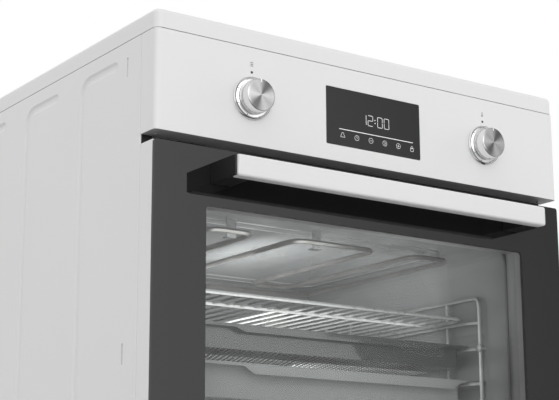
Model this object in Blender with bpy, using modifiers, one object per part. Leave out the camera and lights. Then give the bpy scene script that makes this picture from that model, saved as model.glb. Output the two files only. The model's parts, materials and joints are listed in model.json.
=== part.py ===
"""Freestanding electric oven with a flat glass hob, a drop-down glass door and a storage drawer.

Metres, +Z up. The origin is on the floor, at the middle of the box around the whole object.
The front faces -Y, and the side on a user's left is -X.
"""

import math

import bmesh
import bpy
from mathutils import Matrix, Vector

# Outer sizes
WIDTH = 0.600
HEIGHT = 0.850
BODY_DEPTH = 0.600
HANDLE_REACH = 0.052
SIDE = WIDTH / 2
FRONT = HANDLE_REACH / 2 - BODY_DEPTH / 2
BACK = FRONT + BODY_DEPTH
SHEET = 0.0012
GAP = 0.0003

# Levels of the front, from the floor up
FOOT_HEIGHT = 0.0315
BASE_LEVEL = 0.032
SKIRT_BASE = 0.030
PLINTH_TOP = 0.088
DRAWER_BASE = 0.092
DRAWER_TOP = 0.216
DOOR_BASE = 0.227
DOOR_TOP = 0.702
PANEL_BASE = 0.713
HOB_BASE = 0.828
PANEL_TOP = HOB_BASE - 0.0008

# Door
DOOR_DEPTH = 0.030
DOOR_BACK = FRONT + DOOR_DEPTH
GLASS = 0.004
WINDOW_HALF = 0.236
WINDOW_BASE = 0.300
WINDOW_TOP = 0.640
HINGE_Y = FRONT + 0.010
HINGE_Z = DOOR_BASE + 0.002
HINGE_X = 0.228

# Handle
HANDLE_HALF = 0.229
HANDLE_BASE = 0.661
HANDLE_TOP = 0.685
HANDLE_THICK = 0.015
HANDLE_CAP = 0.0020
HANDLE_FRONT = FRONT - HANDLE_REACH

# Controls
DISPLAY_HALF = 0.071
DISPLAY_BASE = 0.732
DISPLAY_TOP = 0.802
KNOB_X = 0.175
KNOB_Z = 0.767
KNOB_RADIUS = 0.0195
KNOB_REACH = 0.0195
BEZEL_RADIUS = 0.025
BEZEL_THICK = 0.004
SHAFT_RADIUS = 0.003

# Body sheets
SIDE_FRONT = DOOR_BACK + 0.0006
FRAME_FRONT = DOOR_BACK + 0.0046
FRAME_BACK = FRAME_FRONT + 0.0015
FRAME_BASE = 0.218
FRAME_TOP = 0.7125

# Oven cavity, inside
CAVITY_HALF = 0.238
CAVITY_BASE = 0.300
CAVITY_TOP = 0.650
CAVITY_FRONT = FRAME_BACK + GAP
CAVITY_BACK = FRONT + 0.450
CAVITY_RADIUS = 0.025

# Pressed ribs: width and depth of the groove
RIB_WIDTH = 0.012
RIB_DEPTH = 0.0025
SIDE_RIB_DEPTHS = (0.168, 0.314, 0.461)
SIDE_RIB_LEG = 0.078
SIDE_RIB_TOP = PANEL_TOP - 0.022
SIDE_RIB_BASE = 0.100

# Racks, shelf and trays
RACK_X = 0.230
GUIDE_X = 0.2215
WIRE = 0.0025
THIN_WIRE = 0.002
GUIDE_LEVELS = (0.370, 0.425, 0.4795, 0.5235, 0.5572)
RACK_BASE = 0.330
RACK_TOP = 0.590
RACK_FRONT = FRONT + 0.078
RACK_BACK = FRONT + 0.405
RACK_POST_SETBACK = 0.061
SHELF_LEVEL = 0.562
SHELF_HALF = 0.2195
SHELF_FRONT = FRONT + 0.092
SHELF_BACK = FRONT + 0.410
SHELF_BARS = 21
TRAY_RIM_HALF = 0.222
TRAY_HALF = 0.212
TRAY_CORNER = 0.012
LIP_STEP = 0.014
SHALLOW_LIP_SPAN = (-0.126, 0.160)
DEEP_LIP_SPAN = (-0.114, 0.188)
TRAY_FRONT = FRONT + 0.084
TRAY_BACK = FRONT + 0.408

# Hob
GLASS_HALF = 0.270
GLASS_FRONT = FRONT + 0.045
GLASS_BACK = BACK - 0.040
HOB_GLASS_BASE = 0.8441
HOB_GLASS_TOP = 0.8496
HOB_SKIN = 0.002
TRAY_LEVEL = 0.812
HEATERS = {
    "radiant_heater_front_left": (-0.135, 0.0925, 0.160),
    "radiant_heater_front_right": (0.135, 0.0750, 0.160),
    "radiant_heater_rear_left": (-0.135, 0.0750, 0.395),
    "radiant_heater_rear_right": (0.135, 0.1080, 0.395),
}

# Fan, lamp and tubular heaters
FAN_Z = 0.475
FAN_RADIUS = 0.072
FAN_COVER_HALF = 0.205
FAN_COVER_BASE = 0.360
FAN_COVER_TOP = 0.573
LAMP_PLACE = (0.170, 0.600)
ELEMENT_ENDS = (-0.020, 0.020)
ELEMENT_RADIUS = 0.00325
ELEMENT_BACK = CAVITY_BACK + 0.0045
GRILL_LEVEL = 0.632
RING_END_LEVEL = 0.375

# Feet, in plan
FOOT_PLACES = {
    "foot_front_left": (-0.255, FRONT + 0.085),
    "foot_front_right": (0.255, FRONT + 0.085),
    "foot_rear_left": (-0.255, BACK - 0.060),
    "foot_rear_right": (0.255, BACK - 0.060),
}

TURN = {"X": (math.pi / 2, 0, math.pi / 2), "Y": (math.pi / 2, 0, 0), "Z": (0, 0, 0)}
FINISHES = {
    "white_enamel": ((0.80, 0.80, 0.79), 0.30, 0.0),
    "black_enamel": ((0.015, 0.015, 0.016), 0.35, 0.0),
    "grey_enamel": ((0.10, 0.105, 0.115), 0.35, 0.0),
    "black_glass": ((0.010, 0.010, 0.011), 0.05, 0.0),
    "clear_glass": ((0.55, 0.60, 0.58), 0.05, 0.0),
    "galvanised": ((0.55, 0.56, 0.57), 0.45, 1.0),
    "chrome": ((0.80, 0.80, 0.80), 0.15, 1.0),
    "element": ((0.16, 0.15, 0.14), 0.50, 1.0),
    "black_plastic": ((0.020, 0.020, 0.020), 0.50, 0.0),
    "grey_plastic": ((0.12, 0.12, 0.12), 0.55, 0.0),
    "wool": ((0.75, 0.70, 0.55), 0.95, 0.0),
    "seal": ((0.20, 0.20, 0.20), 0.90, 0.0),
}


# ---------------------------------------------------------------- scene and collections


def clear_scene():
    for obj in list(bpy.data.objects):
        bpy.data.objects.remove(obj, do_unlink=True)


def new_collection(name):
    collection = bpy.data.collections.new(name)
    bpy.context.scene.collection.children.link(collection)
    return collection


clear_scene()
PARTS = new_collection("freestanding_oven")
CUTTERS = new_collection("cutters")


def add_object(name, data):
    obj = bpy.data.objects.new(name, data)
    PARTS.objects.link(obj)
    return obj


def give_finish(obj, finish):
    colour, roughness, metallic = FINISHES[finish]
    material = bpy.data.materials.new(obj.name)
    material.use_nodes = True
    shader = material.node_tree.nodes["Principled BSDF"]
    shader.inputs["Base Color"].default_value = (*colour, 1.0)
    shader.inputs["Roughness"].default_value = roughness
    shader.inputs["Metallic"].default_value = metallic
    obj.data.materials.clear()
    obj.data.materials.append(material)
    return obj


def make_helper(obj):
    """Sets an object aside as an operand of a Boolean."""
    PARTS.objects.unlink(obj)
    CUTTERS.objects.link(obj)
    obj.hide_render = True
    obj.display_type = "WIRE"


def combine(obj, operation, operands):
    for operand in operands:
        make_helper(operand)
        modifier = obj.modifiers.new(operand.name, "BOOLEAN")
        modifier.operation = operation
        modifier.solver = "EXACT"
        modifier.object = operand
    return obj


def cut(obj, *cutters):
    return combine(obj, "DIFFERENCE", cutters)


def fuse(obj, *pieces):
    return combine(obj, "UNION", pieces)


def hang_on(name, place, pieces):
    """Parents the pieces to an empty that marks their joint's axis."""
    pivot = add_object(name, None)
    pivot.location = place
    bpy.context.view_layer.update()
    for piece in pieces:
        piece.parent = pivot
        piece.matrix_parent_inverse = pivot.matrix_world.inverted()


# ---------------------------------------------------------------- basic shapes


def mesh_from(name, shape):
    mesh = bpy.data.meshes.new(name)
    shape.to_mesh(mesh)
    shape.free()
    return mesh


def box(name, low, high):
    """A box between two corners."""
    low, high = Vector(low), Vector(high)
    shape = bmesh.new()
    bmesh.ops.create_cube(shape, size=1.0)
    bmesh.ops.scale(shape, vec=high - low, verts=shape.verts)
    obj = add_object(name, mesh_from(name, shape))
    obj.location = (low + high) / 2
    return obj


def cylinder(name, centre, radius, length, axis, segments=20):
    shape = bmesh.new()
    bmesh.ops.create_cone(
        shape, cap_ends=True, segments=segments, radius1=radius, radius2=radius, depth=length
    )
    obj = add_object(name, mesh_from(name, shape))
    obj.location = centre
    obj.rotation_euler = TURN[axis]
    shade_round(obj)
    return obj


def turned(name, profile, centre, axis, steps=24, closed=False):
    """A solid turned from (radius, height) points that run down its outer side."""
    edges = [(i, i + 1) for i in range(len(profile) - 1)]
    if closed:
        edges.append((len(profile) - 1, 0))
    mesh = bpy.data.meshes.new(name)
    mesh.from_pydata([(radius, 0.0, height) for radius, height in profile], edges, [])
    obj = add_object(name, mesh)
    obj.location = centre
    obj.rotation_euler = TURN[axis]
    screw = obj.modifiers.new("Turn", "SCREW")
    screw.axis = "Z"
    screw.steps = steps
    screw.render_steps = steps
    screw.use_merge_vertices = True
    screw.merge_threshold = 0.00001
    return obj


def shade_round(obj, angle=math.radians(35)):
    obj.data.shade_smooth()
    obj.data.set_sharp_from_angle(angle=angle)


def curve_to_mesh(obj, flat):
    """Replaces a curve object by its welded mesh, in the same place."""
    bpy.context.view_layer.update()
    graph = bpy.context.evaluated_depsgraph_get()
    mesh = bpy.data.meshes.new_from_object(obj.evaluated_get(graph))
    shape = bmesh.new()
    shape.from_mesh(mesh)
    bmesh.ops.remove_doubles(shape, verts=shape.verts, dist=0.000001)
    if flat:
        bmesh.ops.dissolve_limit(
            shape, angle_limit=0.001, verts=shape.verts[:], edges=shape.edges[:]
        )
    bmesh.ops.recalc_face_normals(shape, faces=shape.faces[:])
    shape.to_mesh(mesh)
    shape.free()
    name = obj.name
    matrix = obj.matrix_world.copy()
    bpy.data.objects.remove(obj, do_unlink=True)
    result = add_object(name, mesh)
    result.matrix_world = matrix
    return result


def new_curve(name, kind):
    curve = bpy.data.curves.new(name, "CURVE")
    curve.dimensions = kind
    return curve


def add_spline(curve, points, cyclic):
    spline = curve.splines.new("POLY")
    spline.points.add(len(points) - 1)
    for target, point in zip(spline.points, points):
        target.co = (*point, 0.0, 1.0) if len(point) == 2 else (*point, 1.0)
    spline.use_cyclic_u = cyclic


def plate(name, outlines, start, end, normal):
    """A flat plate between two levels along its normal. Outlines inside the first are holes.

    An outline's points are (x, y) on a Z plate, (x, z) on a Y plate and (y, z) on an X plate.
    """
    curve = new_curve(name, "2D")
    curve.fill_mode = "BOTH"
    curve.extrude = abs(end - start) / 2
    for outline in outlines:
        add_spline(curve, outline, True)
    obj = add_object(name, curve)
    middle = (start + end) / 2
    obj.location = {"X": (middle, 0, 0), "Y": (0, middle, 0), "Z": (0, 0, middle)}[normal]
    obj.rotation_euler = TURN[normal]
    return curve_to_mesh(obj, True)


def tube(name, paths, radius, sides=8, closed=False):
    """Round bars along one or more paths, in one mesh."""
    curve = new_curve(name, "3D")
    curve.bevel_depth = radius
    curve.bevel_resolution = sides // 2 - 2
    curve.use_fill_caps = True
    for path in paths:
        add_spline(curve, path, closed)
    obj = curve_to_mesh(add_object(name, curve), False)
    shade_round(obj, math.radians(50))
    return obj


def round_rims(obj, ends, width, segments=3):
    """Rounds the outer edges of a plate at its low (-1) or high (+1) end, or both."""
    shape = bmesh.new()
    shape.from_mesh(obj.data)
    tops = [max(v.co.z for v in shape.verts) * end for end in ends]
    rims = [
        edge
        for edge in shape.edges
        if edge.calc_face_angle(0.0) > 1.0
        and any(all(abs(v.co.z - top) < 0.00001 for v in edge.verts) for top in tops)
    ]
    bmesh.ops.bevel(
        shape, geom=rims, offset=width, segments=segments, profile=0.5, affect="EDGES"
    )
    shape.to_mesh(obj.data)
    shape.free()
    shade_round(obj)
    return obj


# ---------------------------------------------------------------- outlines and paths


def arc(centre, radius, start, end, steps=4):
    """Points on an arc, from one angle to another in degrees."""
    points = []
    for step in range(steps + 1):
        angle = math.radians(start + (end - start) * step / steps)
        points.append((centre[0] + radius * math.cos(angle), centre[1] + radius * math.sin(angle)))
    return points


def circle(centre, radius, sides=16):
    return arc(centre, radius, 0, 360, sides)[:-1]


def rectangle(low, high):
    return [low, (high[0], low[1]), high, (low[0], high[1])]


def rounded_rectangle(low, high, radius, steps=4):
    corners = (
        ((high[0] - radius, high[1] - radius), 0),
        ((low[0] + radius, high[1] - radius), 90),
        ((low[0] + radius, low[1] + radius), 180),
        ((high[0] - radius, low[1] + radius), 270),
    )
    points = []
    for centre, start in corners:
        points += arc(centre, radius, start, start + 90, steps)
    return points


def obround(centre, length, width, upright, steps=4):
    """A slot with round ends."""
    reach = (length - width) / 2
    radius = width / 2
    if upright:
        top = (centre[0], centre[1] + reach)
        bottom = (centre[0], centre[1] - reach)
        return arc(top, radius, 0, 180, steps) + arc(bottom, radius, 180, 360, steps)
    right = (centre[0] + reach, centre[1])
    left = (centre[0] - reach, centre[1])
    return arc(right, radius, -90, 90, steps) + arc(left, radius, 90, 270, steps)


def rounded_path(points, radius, steps=4, closed=False):
    """The path with its corners rounded off."""
    path = []
    for index, point in enumerate(points):
        corner = Vector(point)
        if not closed and index in (0, len(points) - 1):
            path.append(corner)
            continue
        before = (Vector(points[index - 1]) - corner).normalized() * radius
        after = (Vector(points[(index + 1) % len(points)]) - corner).normalized() * radius
        for step in range(steps + 1):
            part = step / steps
            first = corner + before * (1 - part)
            second = corner + after * part
            path.append(first.lerp(second, part))
    return path


def press_ribs(panel, name, paths, face, outward, closed=False):
    """Presses round grooves into a sheet from the face on its `outward` side.

    The paths lie on that face, which holds the point `face`. The sheet keeps its thickness.
    """
    radius = (RIB_WIDTH * RIB_WIDTH / 4 + RIB_DEPTH * RIB_DEPTH) / (2 * RIB_DEPTH)
    outward = Vector(outward)
    raised = [[Vector(point) + outward * (radius - RIB_DEPTH) for point in path] for path in paths]
    groove = tube(name + "_groove", raised, radius, 16, closed)
    backing = tube(name + "_backing", raised, radius + SHEET, 16, closed)
    middle = Vector(face) - outward * (SHEET / 2)
    low = middle - Vector((1.0, 1.0, 1.0))
    high = middle + Vector((1.0, 1.0, 1.0))
    for axis in range(3):
        if outward[axis] > 0:
            low[axis] = middle[axis]
        elif outward[axis] < 0:
            high[axis] = middle[axis]
    cut(backing, box(name + "_outside", low, high))
    fuse(panel, backing)
    cut(panel, groove)


# ---------------------------------------------------------------- casing


def side_panel(name, sign):
    """An outer side sheet, folded in at the front and the back, with three pressed ribs."""
    bend = 0.0025
    front_fold = SIDE - 0.015
    back_fold = SIDE - 0.014
    fold_y = BACK - 0.003
    inside = SIDE - SHEET
    corner = (SIDE - bend, SIDE_FRONT + bend)
    outline = [(front_fold, SIDE_FRONT)]
    outline += arc(corner, bend, 270, 360)
    outline += [(SIDE, BACK), (inside, BACK), (inside, fold_y + SHEET)]
    outline += [(back_fold, fold_y + SHEET), (back_fold, fold_y), (inside, fold_y)]
    outline += arc(corner, bend - SHEET, 360, 270)
    outline += [(front_fold, SIDE_FRONT + SHEET)]
    outline = [(sign * x, y) for x, y in outline]
    panel = plate(name, [outline], SKIRT_BASE, PANEL_TOP, "Z")

    face = sign * SIDE
    lifted = sign * (SIDE + RIB_DEPTH + 0.0003)
    paths = []
    for depth in SIDE_RIB_DEPTHS:
        leg = FRONT + depth
        tip = leg - SIDE_RIB_LEG
        corners = [(face, tip, SIDE_RIB_TOP), (face, leg, SIDE_RIB_TOP), (face, leg, SIDE_RIB_BASE)]
        path = rounded_path(corners, 0.020, 5)
        path.insert(0, Vector((lifted, tip - 0.008, SIDE_RIB_TOP)))
        path.append(Vector((lifted, leg, SIDE_RIB_BASE - 0.008)))
        paths.append(path)
    press_ribs(panel, name, paths, (face, 0, 0), (sign, 0, 0))

    slots = []
    for drop in (0.030, 0.349, 0.669):
        slots.append(obround((FRONT + 0.061, PANEL_TOP - drop), 0.023, 0.004, True))
    low, high = sorted((sign * (SIDE - 0.004), sign * (SIDE + 0.004)))
    cut(panel, plate(name + "_slots", slots, low, high, "X"))
    return give_finish(panel, "white_enamel")


def rear_panel():
    """The back sheet, with rows of air slots and the cut-out of the mains terminal box."""
    outlines = [rectangle((-SIDE + 0.0016, 0.0325), (SIDE - 0.0016, PANEL_TOP - 0.0004))]
    for row in range(5):
        for column in range(4):
            centre = (-0.18 + 0.12 * column, 0.735 + 0.014 * row)
            outlines.append(obround(centre, 0.090, 0.005, False, 3))
    for row in range(3):
        for column in range(2):
            centre = (-0.18 + 0.12 * column, 0.235 + 0.014 * row)
            outlines.append(obround(centre, 0.090, 0.005, False, 3))
    outlines.append(rectangle((0.1296, 0.0996), (0.2504, 0.1904)))
    panel = plate("rear_panel", outlines, BACK - SHEET, BACK, "Y")
    return give_finish(panel, "galvanised")


def terminal_box():
    """The mains inlet: a box behind the back sheet, open at its cable entry underneath."""
    low, high = (0.130, BACK - 0.036, 0.100), (0.250, BACK - GAP, 0.190)
    body = box("terminal_box", low, high)
    inner_low = (0.132, BACK - 0.034, 0.102)
    inner_high = (0.248, BACK - 0.002, 0.188)
    cut(body, box("terminal_box_inside", inner_low, inner_high))
    entry = (0.190, BACK - 0.018, 0.100)
    cut(body, cylinder("terminal_box_entry", entry, 0.010, 0.020, "Z"))
    return give_finish(body, "black_plastic")


def base_tray():
    """The bottom sheet, folded up all round, with holes for the feet."""
    low = (-SIDE + 0.0018, FRONT + 0.050, BASE_LEVEL)
    high = (SIDE - 0.0018, BACK - 0.0035, BASE_LEVEL + 0.030)
    tray = box("base_tray", low, high)
    wall = Vector((SHEET, SHEET, SHEET))
    inner_high = Vector(high) - wall
    inner_high.z = high[2] + 0.010
    cut(tray, box("base_tray_inside", Vector(low) + wall, inner_high))
    for name, place in FOOT_PLACES.items():
        cut(tray, cylinder(name + "_hole", (*place, BASE_LEVEL), 0.0055, 0.020, "Z", 12))
    return give_finish(tray, "galvanised")


def foot(name, place):
    """A levelling foot: a round pad, a collar and a stem through the base."""
    profile = [(0, 0.056), (0.005, 0.056), (0.005, FOOT_HEIGHT), (0.012, FOOT_HEIGHT)]
    profile += [(0.012, 0.022), (0.009, 0.021), (0.009, 0.011), (0.020, 0.007)]
    profile += [(0.021, 0.005), (0.021, 0), (0, 0)]
    pad = turned(name, profile, (*place, 0), "Z", 12)
    return give_finish(pad, "black_plastic")


def plinth_front():
    """The recessed kick plate, folded back along its top and bottom."""
    front = FRONT + 0.020
    fold = front + 0.0102
    outline = [(fold, BASE_LEVEL), (front, BASE_LEVEL), (front, PLINTH_TOP), (fold, PLINTH_TOP)]
    outline += [(fold, PLINTH_TOP - SHEET), (front + SHEET, PLINTH_TOP - SHEET)]
    outline += [(front + SHEET, BASE_LEVEL + SHEET), (fold, BASE_LEVEL + SHEET)]
    plinth = plate("plinth_front", [outline], 0.0018 - SIDE, SIDE - 0.0018, "X")
    return give_finish(plinth, "white_enamel")


# ---------------------------------------------------------------- hob


def hob_frame():
    """The pressed steel rim of the hob, hollow underneath, with a ledge for the glass."""
    outline = rounded_rectangle((-SIDE, FRONT), (SIDE, BACK), 0.008)
    frame = plate("hob_frame", [outline], HOB_BASE, HEIGHT, "Z")
    round_rims(frame, (1,), 0.005, 4)
    glass = rounded_rectangle((-GLASS_HALF, GLASS_FRONT), (GLASS_HALF, GLASS_BACK), 0.012)
    cut(frame, plate("hob_frame_glass", [glass], HOB_GLASS_BASE - GAP, HEIGHT + 0.01, "Z"))
    ledge = 0.010
    hole_low = (ledge - GLASS_HALF, GLASS_FRONT + ledge)
    hole_high = (GLASS_HALF - ledge, GLASS_BACK - ledge)
    hole = rounded_rectangle(hole_low, hole_high, 0.006)
    cut(frame, plate("hob_frame_hole", [hole], HOB_BASE - 0.01, HEIGHT, "Z"))
    wall = 0.003
    low = (-SIDE + wall, FRONT + wall)
    high = (SIDE - wall, BACK - wall)
    under = rounded_rectangle(low, high, 0.006)
    ring_low = (-GLASS_HALF - HOB_SKIN, GLASS_FRONT - HOB_SKIN)
    ring_high = (GLASS_HALF + HOB_SKIN, GLASS_BACK + HOB_SKIN)
    ring = rounded_rectangle(ring_low, ring_high, 0.013)
    ledge_base = HOB_GLASS_BASE - GAP - HOB_SKIN
    cut(frame, plate("hob_frame_under", [under], HOB_BASE - 0.01, ledge_base, "Z"))
    cut(frame, plate("hob_frame_channel", [under, ring], HOB_BASE, HEIGHT - HOB_SKIN - 0.002, "Z"))
    return give_finish(frame, "white_enamel")


def hob_glass():
    edge = 0.0006
    low = (edge - GLASS_HALF, GLASS_FRONT + edge)
    high = (GLASS_HALF - edge, GLASS_BACK - edge)
    glass = plate(
        "hob_glass", [rounded_rectangle(low, high, 0.0115)], HOB_GLASS_BASE, HOB_GLASS_TOP, "Z"
    )
    return give_finish(glass, "black_glass")


def radiant_heater(name, centre, radius):
    """A shallow round heater pan with a raised insulating rim."""
    top = HOB_GLASS_BASE - 0.0006
    base = TRAY_LEVEL + SHEET + GAP
    profile = [(0, top - 0.010), (radius - 0.010, top - 0.010), (radius - 0.008, top)]
    profile += [(radius, top), (radius, top - 0.012), (radius - 0.004, base), (0, base)]
    heater = turned(name, profile, (*centre, 0), "Z", 24)
    return give_finish(heater, "grey_plastic")


def hob_undertray():
    """The sheet tray that carries the heaters."""
    low = (-SIDE + 0.0165, FRONT + 0.034, TRAY_LEVEL)
    high = (SIDE - 0.0165, BACK - 0.004, HOB_BASE - 0.0005)
    tray = box("hob_undertray", low, high)
    wall = Vector((SHEET, SHEET, SHEET))
    inner_high = Vector(high) - wall
    inner_high.z = HOB_BASE + 0.010
    cut(tray, box("hob_undertray_inside", Vector(low) + wall, inner_high))
    return give_finish(tray, "galvanised")


# ---------------------------------------------------------------- control panel


def folded_front(name, base, top, depth, radius):
    """A front sheet whose two ends are folded back round a bend."""
    back = FRONT + depth
    left, right = (radius - SIDE, FRONT + radius), (SIDE - radius, FRONT + radius)
    inner = radius - SHEET
    outline = [(-SIDE, back)] + arc(left, radius, 180, 270, 6) + arc(right, radius, 270, 360, 6)
    outline += [(SIDE, back), (SIDE - SHEET, back)]
    outline += arc(right, inner, 360, 270, 6) + arc(left, inner, 270, 180, 6)
    outline += [(SHEET - SIDE, back)]
    return plate(name, [outline], base, top, "Z")


def control_panel():
    """The white fascia, with openings for the display and the two switch shafts."""
    panel = folded_front("control_panel", PANEL_BASE, PANEL_TOP, DOOR_DEPTH, 0.0055)
    low, high = (-DISPLAY_HALF, DISPLAY_BASE), (DISPLAY_HALF, DISPLAY_TOP)
    holes = [rounded_rectangle(low, high, 0.001, 1)]
    for x in (-KNOB_X, KNOB_X):
        holes.append(circle((x, KNOB_Z), 0.0045, 12))
    cut(panel, plate("control_panel_holes", holes, FRONT - 0.004, FRONT + 0.004, "Y"))
    return give_finish(panel, "white_enamel")


def display_glass():
    edge = 0.0004
    low = (edge - DISPLAY_HALF, DISPLAY_BASE + edge)
    high = (DISPLAY_HALF - edge, DISPLAY_TOP - edge)
    glass = plate(
        "display_glass", [rounded_rectangle(low, high, 0.001, 1)], FRONT, FRONT + 0.003, "Y"
    )
    return give_finish(glass, "black_glass")


def timer_module():
    """The clock's electronics, in a case behind the display."""
    low = (-0.066, FRONT + 0.0033, 0.737)
    high = (0.066, FRONT + 0.040, 0.797)
    return give_finish(box("timer_module", low, high), "black_plastic")


def panel_lower_trim():
    """The dark strip that closes the control panel underneath, folded up at its back."""
    edge, radius = 0.0016, 0.0039
    front, back = FRONT + edge, DOOR_BACK
    base = PANEL_BASE + GAP
    half = SIDE - edge
    outline = [(-half, back)] + arc((radius - half, front + radius), radius, 180, 270)
    outline += arc((half - radius, front + radius), radius, 270, 360) + [(half, back)]
    trim = plate("panel_lower_trim", [outline], base, base + SHEET, "Z")
    low = (-half, back - SHEET, base)
    fuse(trim, box("panel_lower_trim_lip", low, (half, back, base + 0.014)))
    return give_finish(trim, "grey_plastic")


def knob_bezel(name, x):
    """The fixed chrome ring round a knob."""
    profile = [(0.0055, BEZEL_THICK), (0.0215, BEZEL_THICK), (0.0232, BEZEL_THICK - 0.0008)]
    profile += [(BEZEL_RADIUS, 0.001), (BEZEL_RADIUS, GAP), (0.0055, GAP)]
    bezel = turned(name, profile, (x, FRONT, KNOB_Z), "Y", 28, True)
    return give_finish(bezel, "chrome")


def knob(name, x):
    """A knob with its shaft, which turns in the switch behind the panel."""
    base = BEZEL_THICK + 0.0005
    top = KNOB_REACH
    profile = [(0, top), (KNOB_RADIUS - 0.0022, top), (KNOB_RADIUS - 0.0012, top - 0.0004)]
    profile += [(KNOB_RADIUS - 0.0006, top - 0.0014), (KNOB_RADIUS, base + 0.0008)]
    profile += [(KNOB_RADIUS - 0.0004, base), (SHAFT_RADIUS, base)]
    profile += [(SHAFT_RADIUS, -0.030), (0, -0.030)]
    body = turned(name, profile, (x, FRONT, KNOB_Z), "Y", 28)
    notch_low = (x - 0.0011, FRONT - top - 0.001, KNOB_Z + KNOB_RADIUS - 0.0050)
    notch_high = (x + 0.0011, FRONT - top + 0.0012, KNOB_Z + KNOB_RADIUS + 0.001)
    cut(body, box(name + "_notch", notch_low, notch_high))
    return give_finish(body, "chrome")


def rotary_switch(name, x):
    """A switch body whose bore takes the knob's shaft."""
    low = (x - 0.024, FRONT + 0.0045, KNOB_Z - 0.024)
    high = (x + 0.024, FRONT + 0.036, KNOB_Z + 0.024)
    body = box(name, low, high)
    bore = (x, FRONT + 0.015, KNOB_Z)
    cut(body, cylinder(name + "_bore", bore, SHAFT_RADIUS + 0.0004, 0.034, "Y", 16))
    return give_finish(body, "grey_plastic")


# ---------------------------------------------------------------- oven


def mouth_outline(margin):
    """The rounded section of the cavity, grown by a margin."""
    low = (-CAVITY_HALF - margin, CAVITY_BASE - margin)
    high = (CAVITY_HALF + margin, CAVITY_TOP + margin)
    return rounded_rectangle(low, high, CAVITY_RADIUS + margin, 6)


def front_frame():
    """The frame round the cavity mouth, with slots for the hinge arms."""
    half = SIDE - 0.0016
    outlines = [rectangle((-half, FRAME_BASE), (half, FRAME_TOP)), mouth_outline(0.0004)]
    for sign in (-1, 1):
        centre = (sign * HINGE_X, HINGE_Z)
        low = (centre[0] - 0.0035, centre[1] - 0.0065)
        high = (centre[0] + 0.0035, centre[1] + 0.0065)
        outlines.append(rectangle(low, high))
    frame = plate("front_frame", outlines, FRAME_FRONT, FRAME_BACK, "Y")
    return give_finish(frame, "black_enamel")


def oven_cavity():
    """The enamelled muffle: one deep pressing with ribs in its sides and its ceiling."""
    back = CAVITY_BACK + SHEET
    cavity = plate("oven_cavity", [mouth_outline(SHEET)], CAVITY_FRONT, back, "Y")
    inside = plate(
        "oven_cavity_inside", [mouth_outline(0)], CAVITY_FRONT - 0.01, CAVITY_BACK, "Y"
    )
    cut(cavity, inside)
    start, end = FRONT + 0.085, FRONT + 0.400
    for sign, side in ((-1, "left"), (1, "right")):
        wall = sign * CAVITY_HALF
        lifted = sign * (CAVITY_HALF - RIB_DEPTH - 0.0003)
        paths = []
        for level in (0.360, 0.420, 0.480, 0.540):
            middle = [(wall, start, level), (wall, end, level)]
            path = [(lifted, start - 0.008, level), *middle, (lifted, end + 0.008, level)]
            paths.append([Vector(point) for point in path])
        press_ribs(cavity, f"cavity_{side}_ribs", paths, (wall, 0, 0), (-sign, 0, 0))
    low, high = FRONT + 0.112, FRONT + 0.415
    corners = [(-0.193, low), (0.193, low), (0.193, high), (-0.193, high)]
    ring = rounded_path([(x, y, CAVITY_TOP) for x, y in corners], 0.040, 5, True)
    press_ribs(cavity, "cavity_ceiling_rib", [ring], (0, 0, CAVITY_TOP), (0, 0, -1), True)
    holes = [circle((0, FAN_Z), 0.0075, 12), circle(LAMP_PLACE, 0.0212, 20)]
    for x in ELEMENT_ENDS:
        holes.append(circle((x, GRILL_LEVEL), 0.0045, 8))
        holes.append(circle((x, RING_END_LEVEL), 0.0045, 8))
    cut(cavity, plate("cavity_back_holes", holes, CAVITY_BACK - 0.01, back + 0.01, "Y"))
    return give_finish(cavity, "grey_enamel")


def insulation():
    """The mineral wool round the cavity, open at the front, with a hole for the fan motor."""
    clear = 0.0047
    half = CAVITY_HALF + clear
    low = (-0.270, CAVITY_FRONT + 0.002, 0.272)
    high = (0.270, FRONT + 0.482, 0.684)
    wool = box("insulation", low, high)
    inner_low = (-half, CAVITY_FRONT - 0.010, CAVITY_BASE - 0.014)
    inner_high = (half, FRONT + 0.457, CAVITY_TOP + clear)
    cut(wool, box("insulation_inside", inner_low, inner_high))
    cut(wool, cylinder("insulation_motor_hole", (0, FRONT + 0.470, FAN_Z), 0.035, 0.06, "Y"))
    lamp = (LAMP_PLACE[0], FRONT + 0.470, LAMP_PLACE[1])
    cut(wool, cylinder("insulation_lamp_hole", lamp, 0.023, 0.06, "Y"))
    return give_finish(wool, "wool")


def door_seal():
    """The woven seal round the cavity mouth."""
    margin = 0.0088
    y = (DOOR_BACK + FRAME_FRONT) / 2
    path = [(x, y, z) for x, z in mouth_outline(margin)]
    seal = tube("door_seal", [path], (FRAME_FRONT - DOOR_BACK) / 2 - GAP, 6, True)
    return give_finish(seal, "seal")


def grill_element():
    """The folded tubular heater under the ceiling."""
    z = GRILL_LEVEL
    back = ELEMENT_BACK
    near, far = FRONT + 0.075, FRONT + 0.395
    right = [(0.020, back), (0.020, far), (0.180, far), (0.180, near), (0.120, near)]
    right += [(0.120, far - 0.045), (0.060, far - 0.045), (0.060, near), (0.0, near)]
    left = [(-x, y) for x, y in reversed(right[:-1])]
    path = rounded_path([(x, y, z) for x, y in right[:-1] + left], 0.018, 3)
    return give_finish(tube("grill_element", [path], ELEMENT_RADIUS, 6), "element")


def bottom_element():
    """The tubular heater under the cavity floor."""
    z = CAVITY_BASE - SHEET - 0.0065
    near, far = FRONT + 0.090, FRONT + 0.380
    corners = [(-0.02, ELEMENT_BACK), (-0.02, far), (-0.17, far), (-0.17, near)]
    corners += [(-x, y) for x, y in reversed(corners)]
    path = rounded_path([(x, y, z) for x, y in corners], 0.030, 3)
    return give_finish(tube("bottom_element", [path], ELEMENT_RADIUS, 6), "element")


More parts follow.
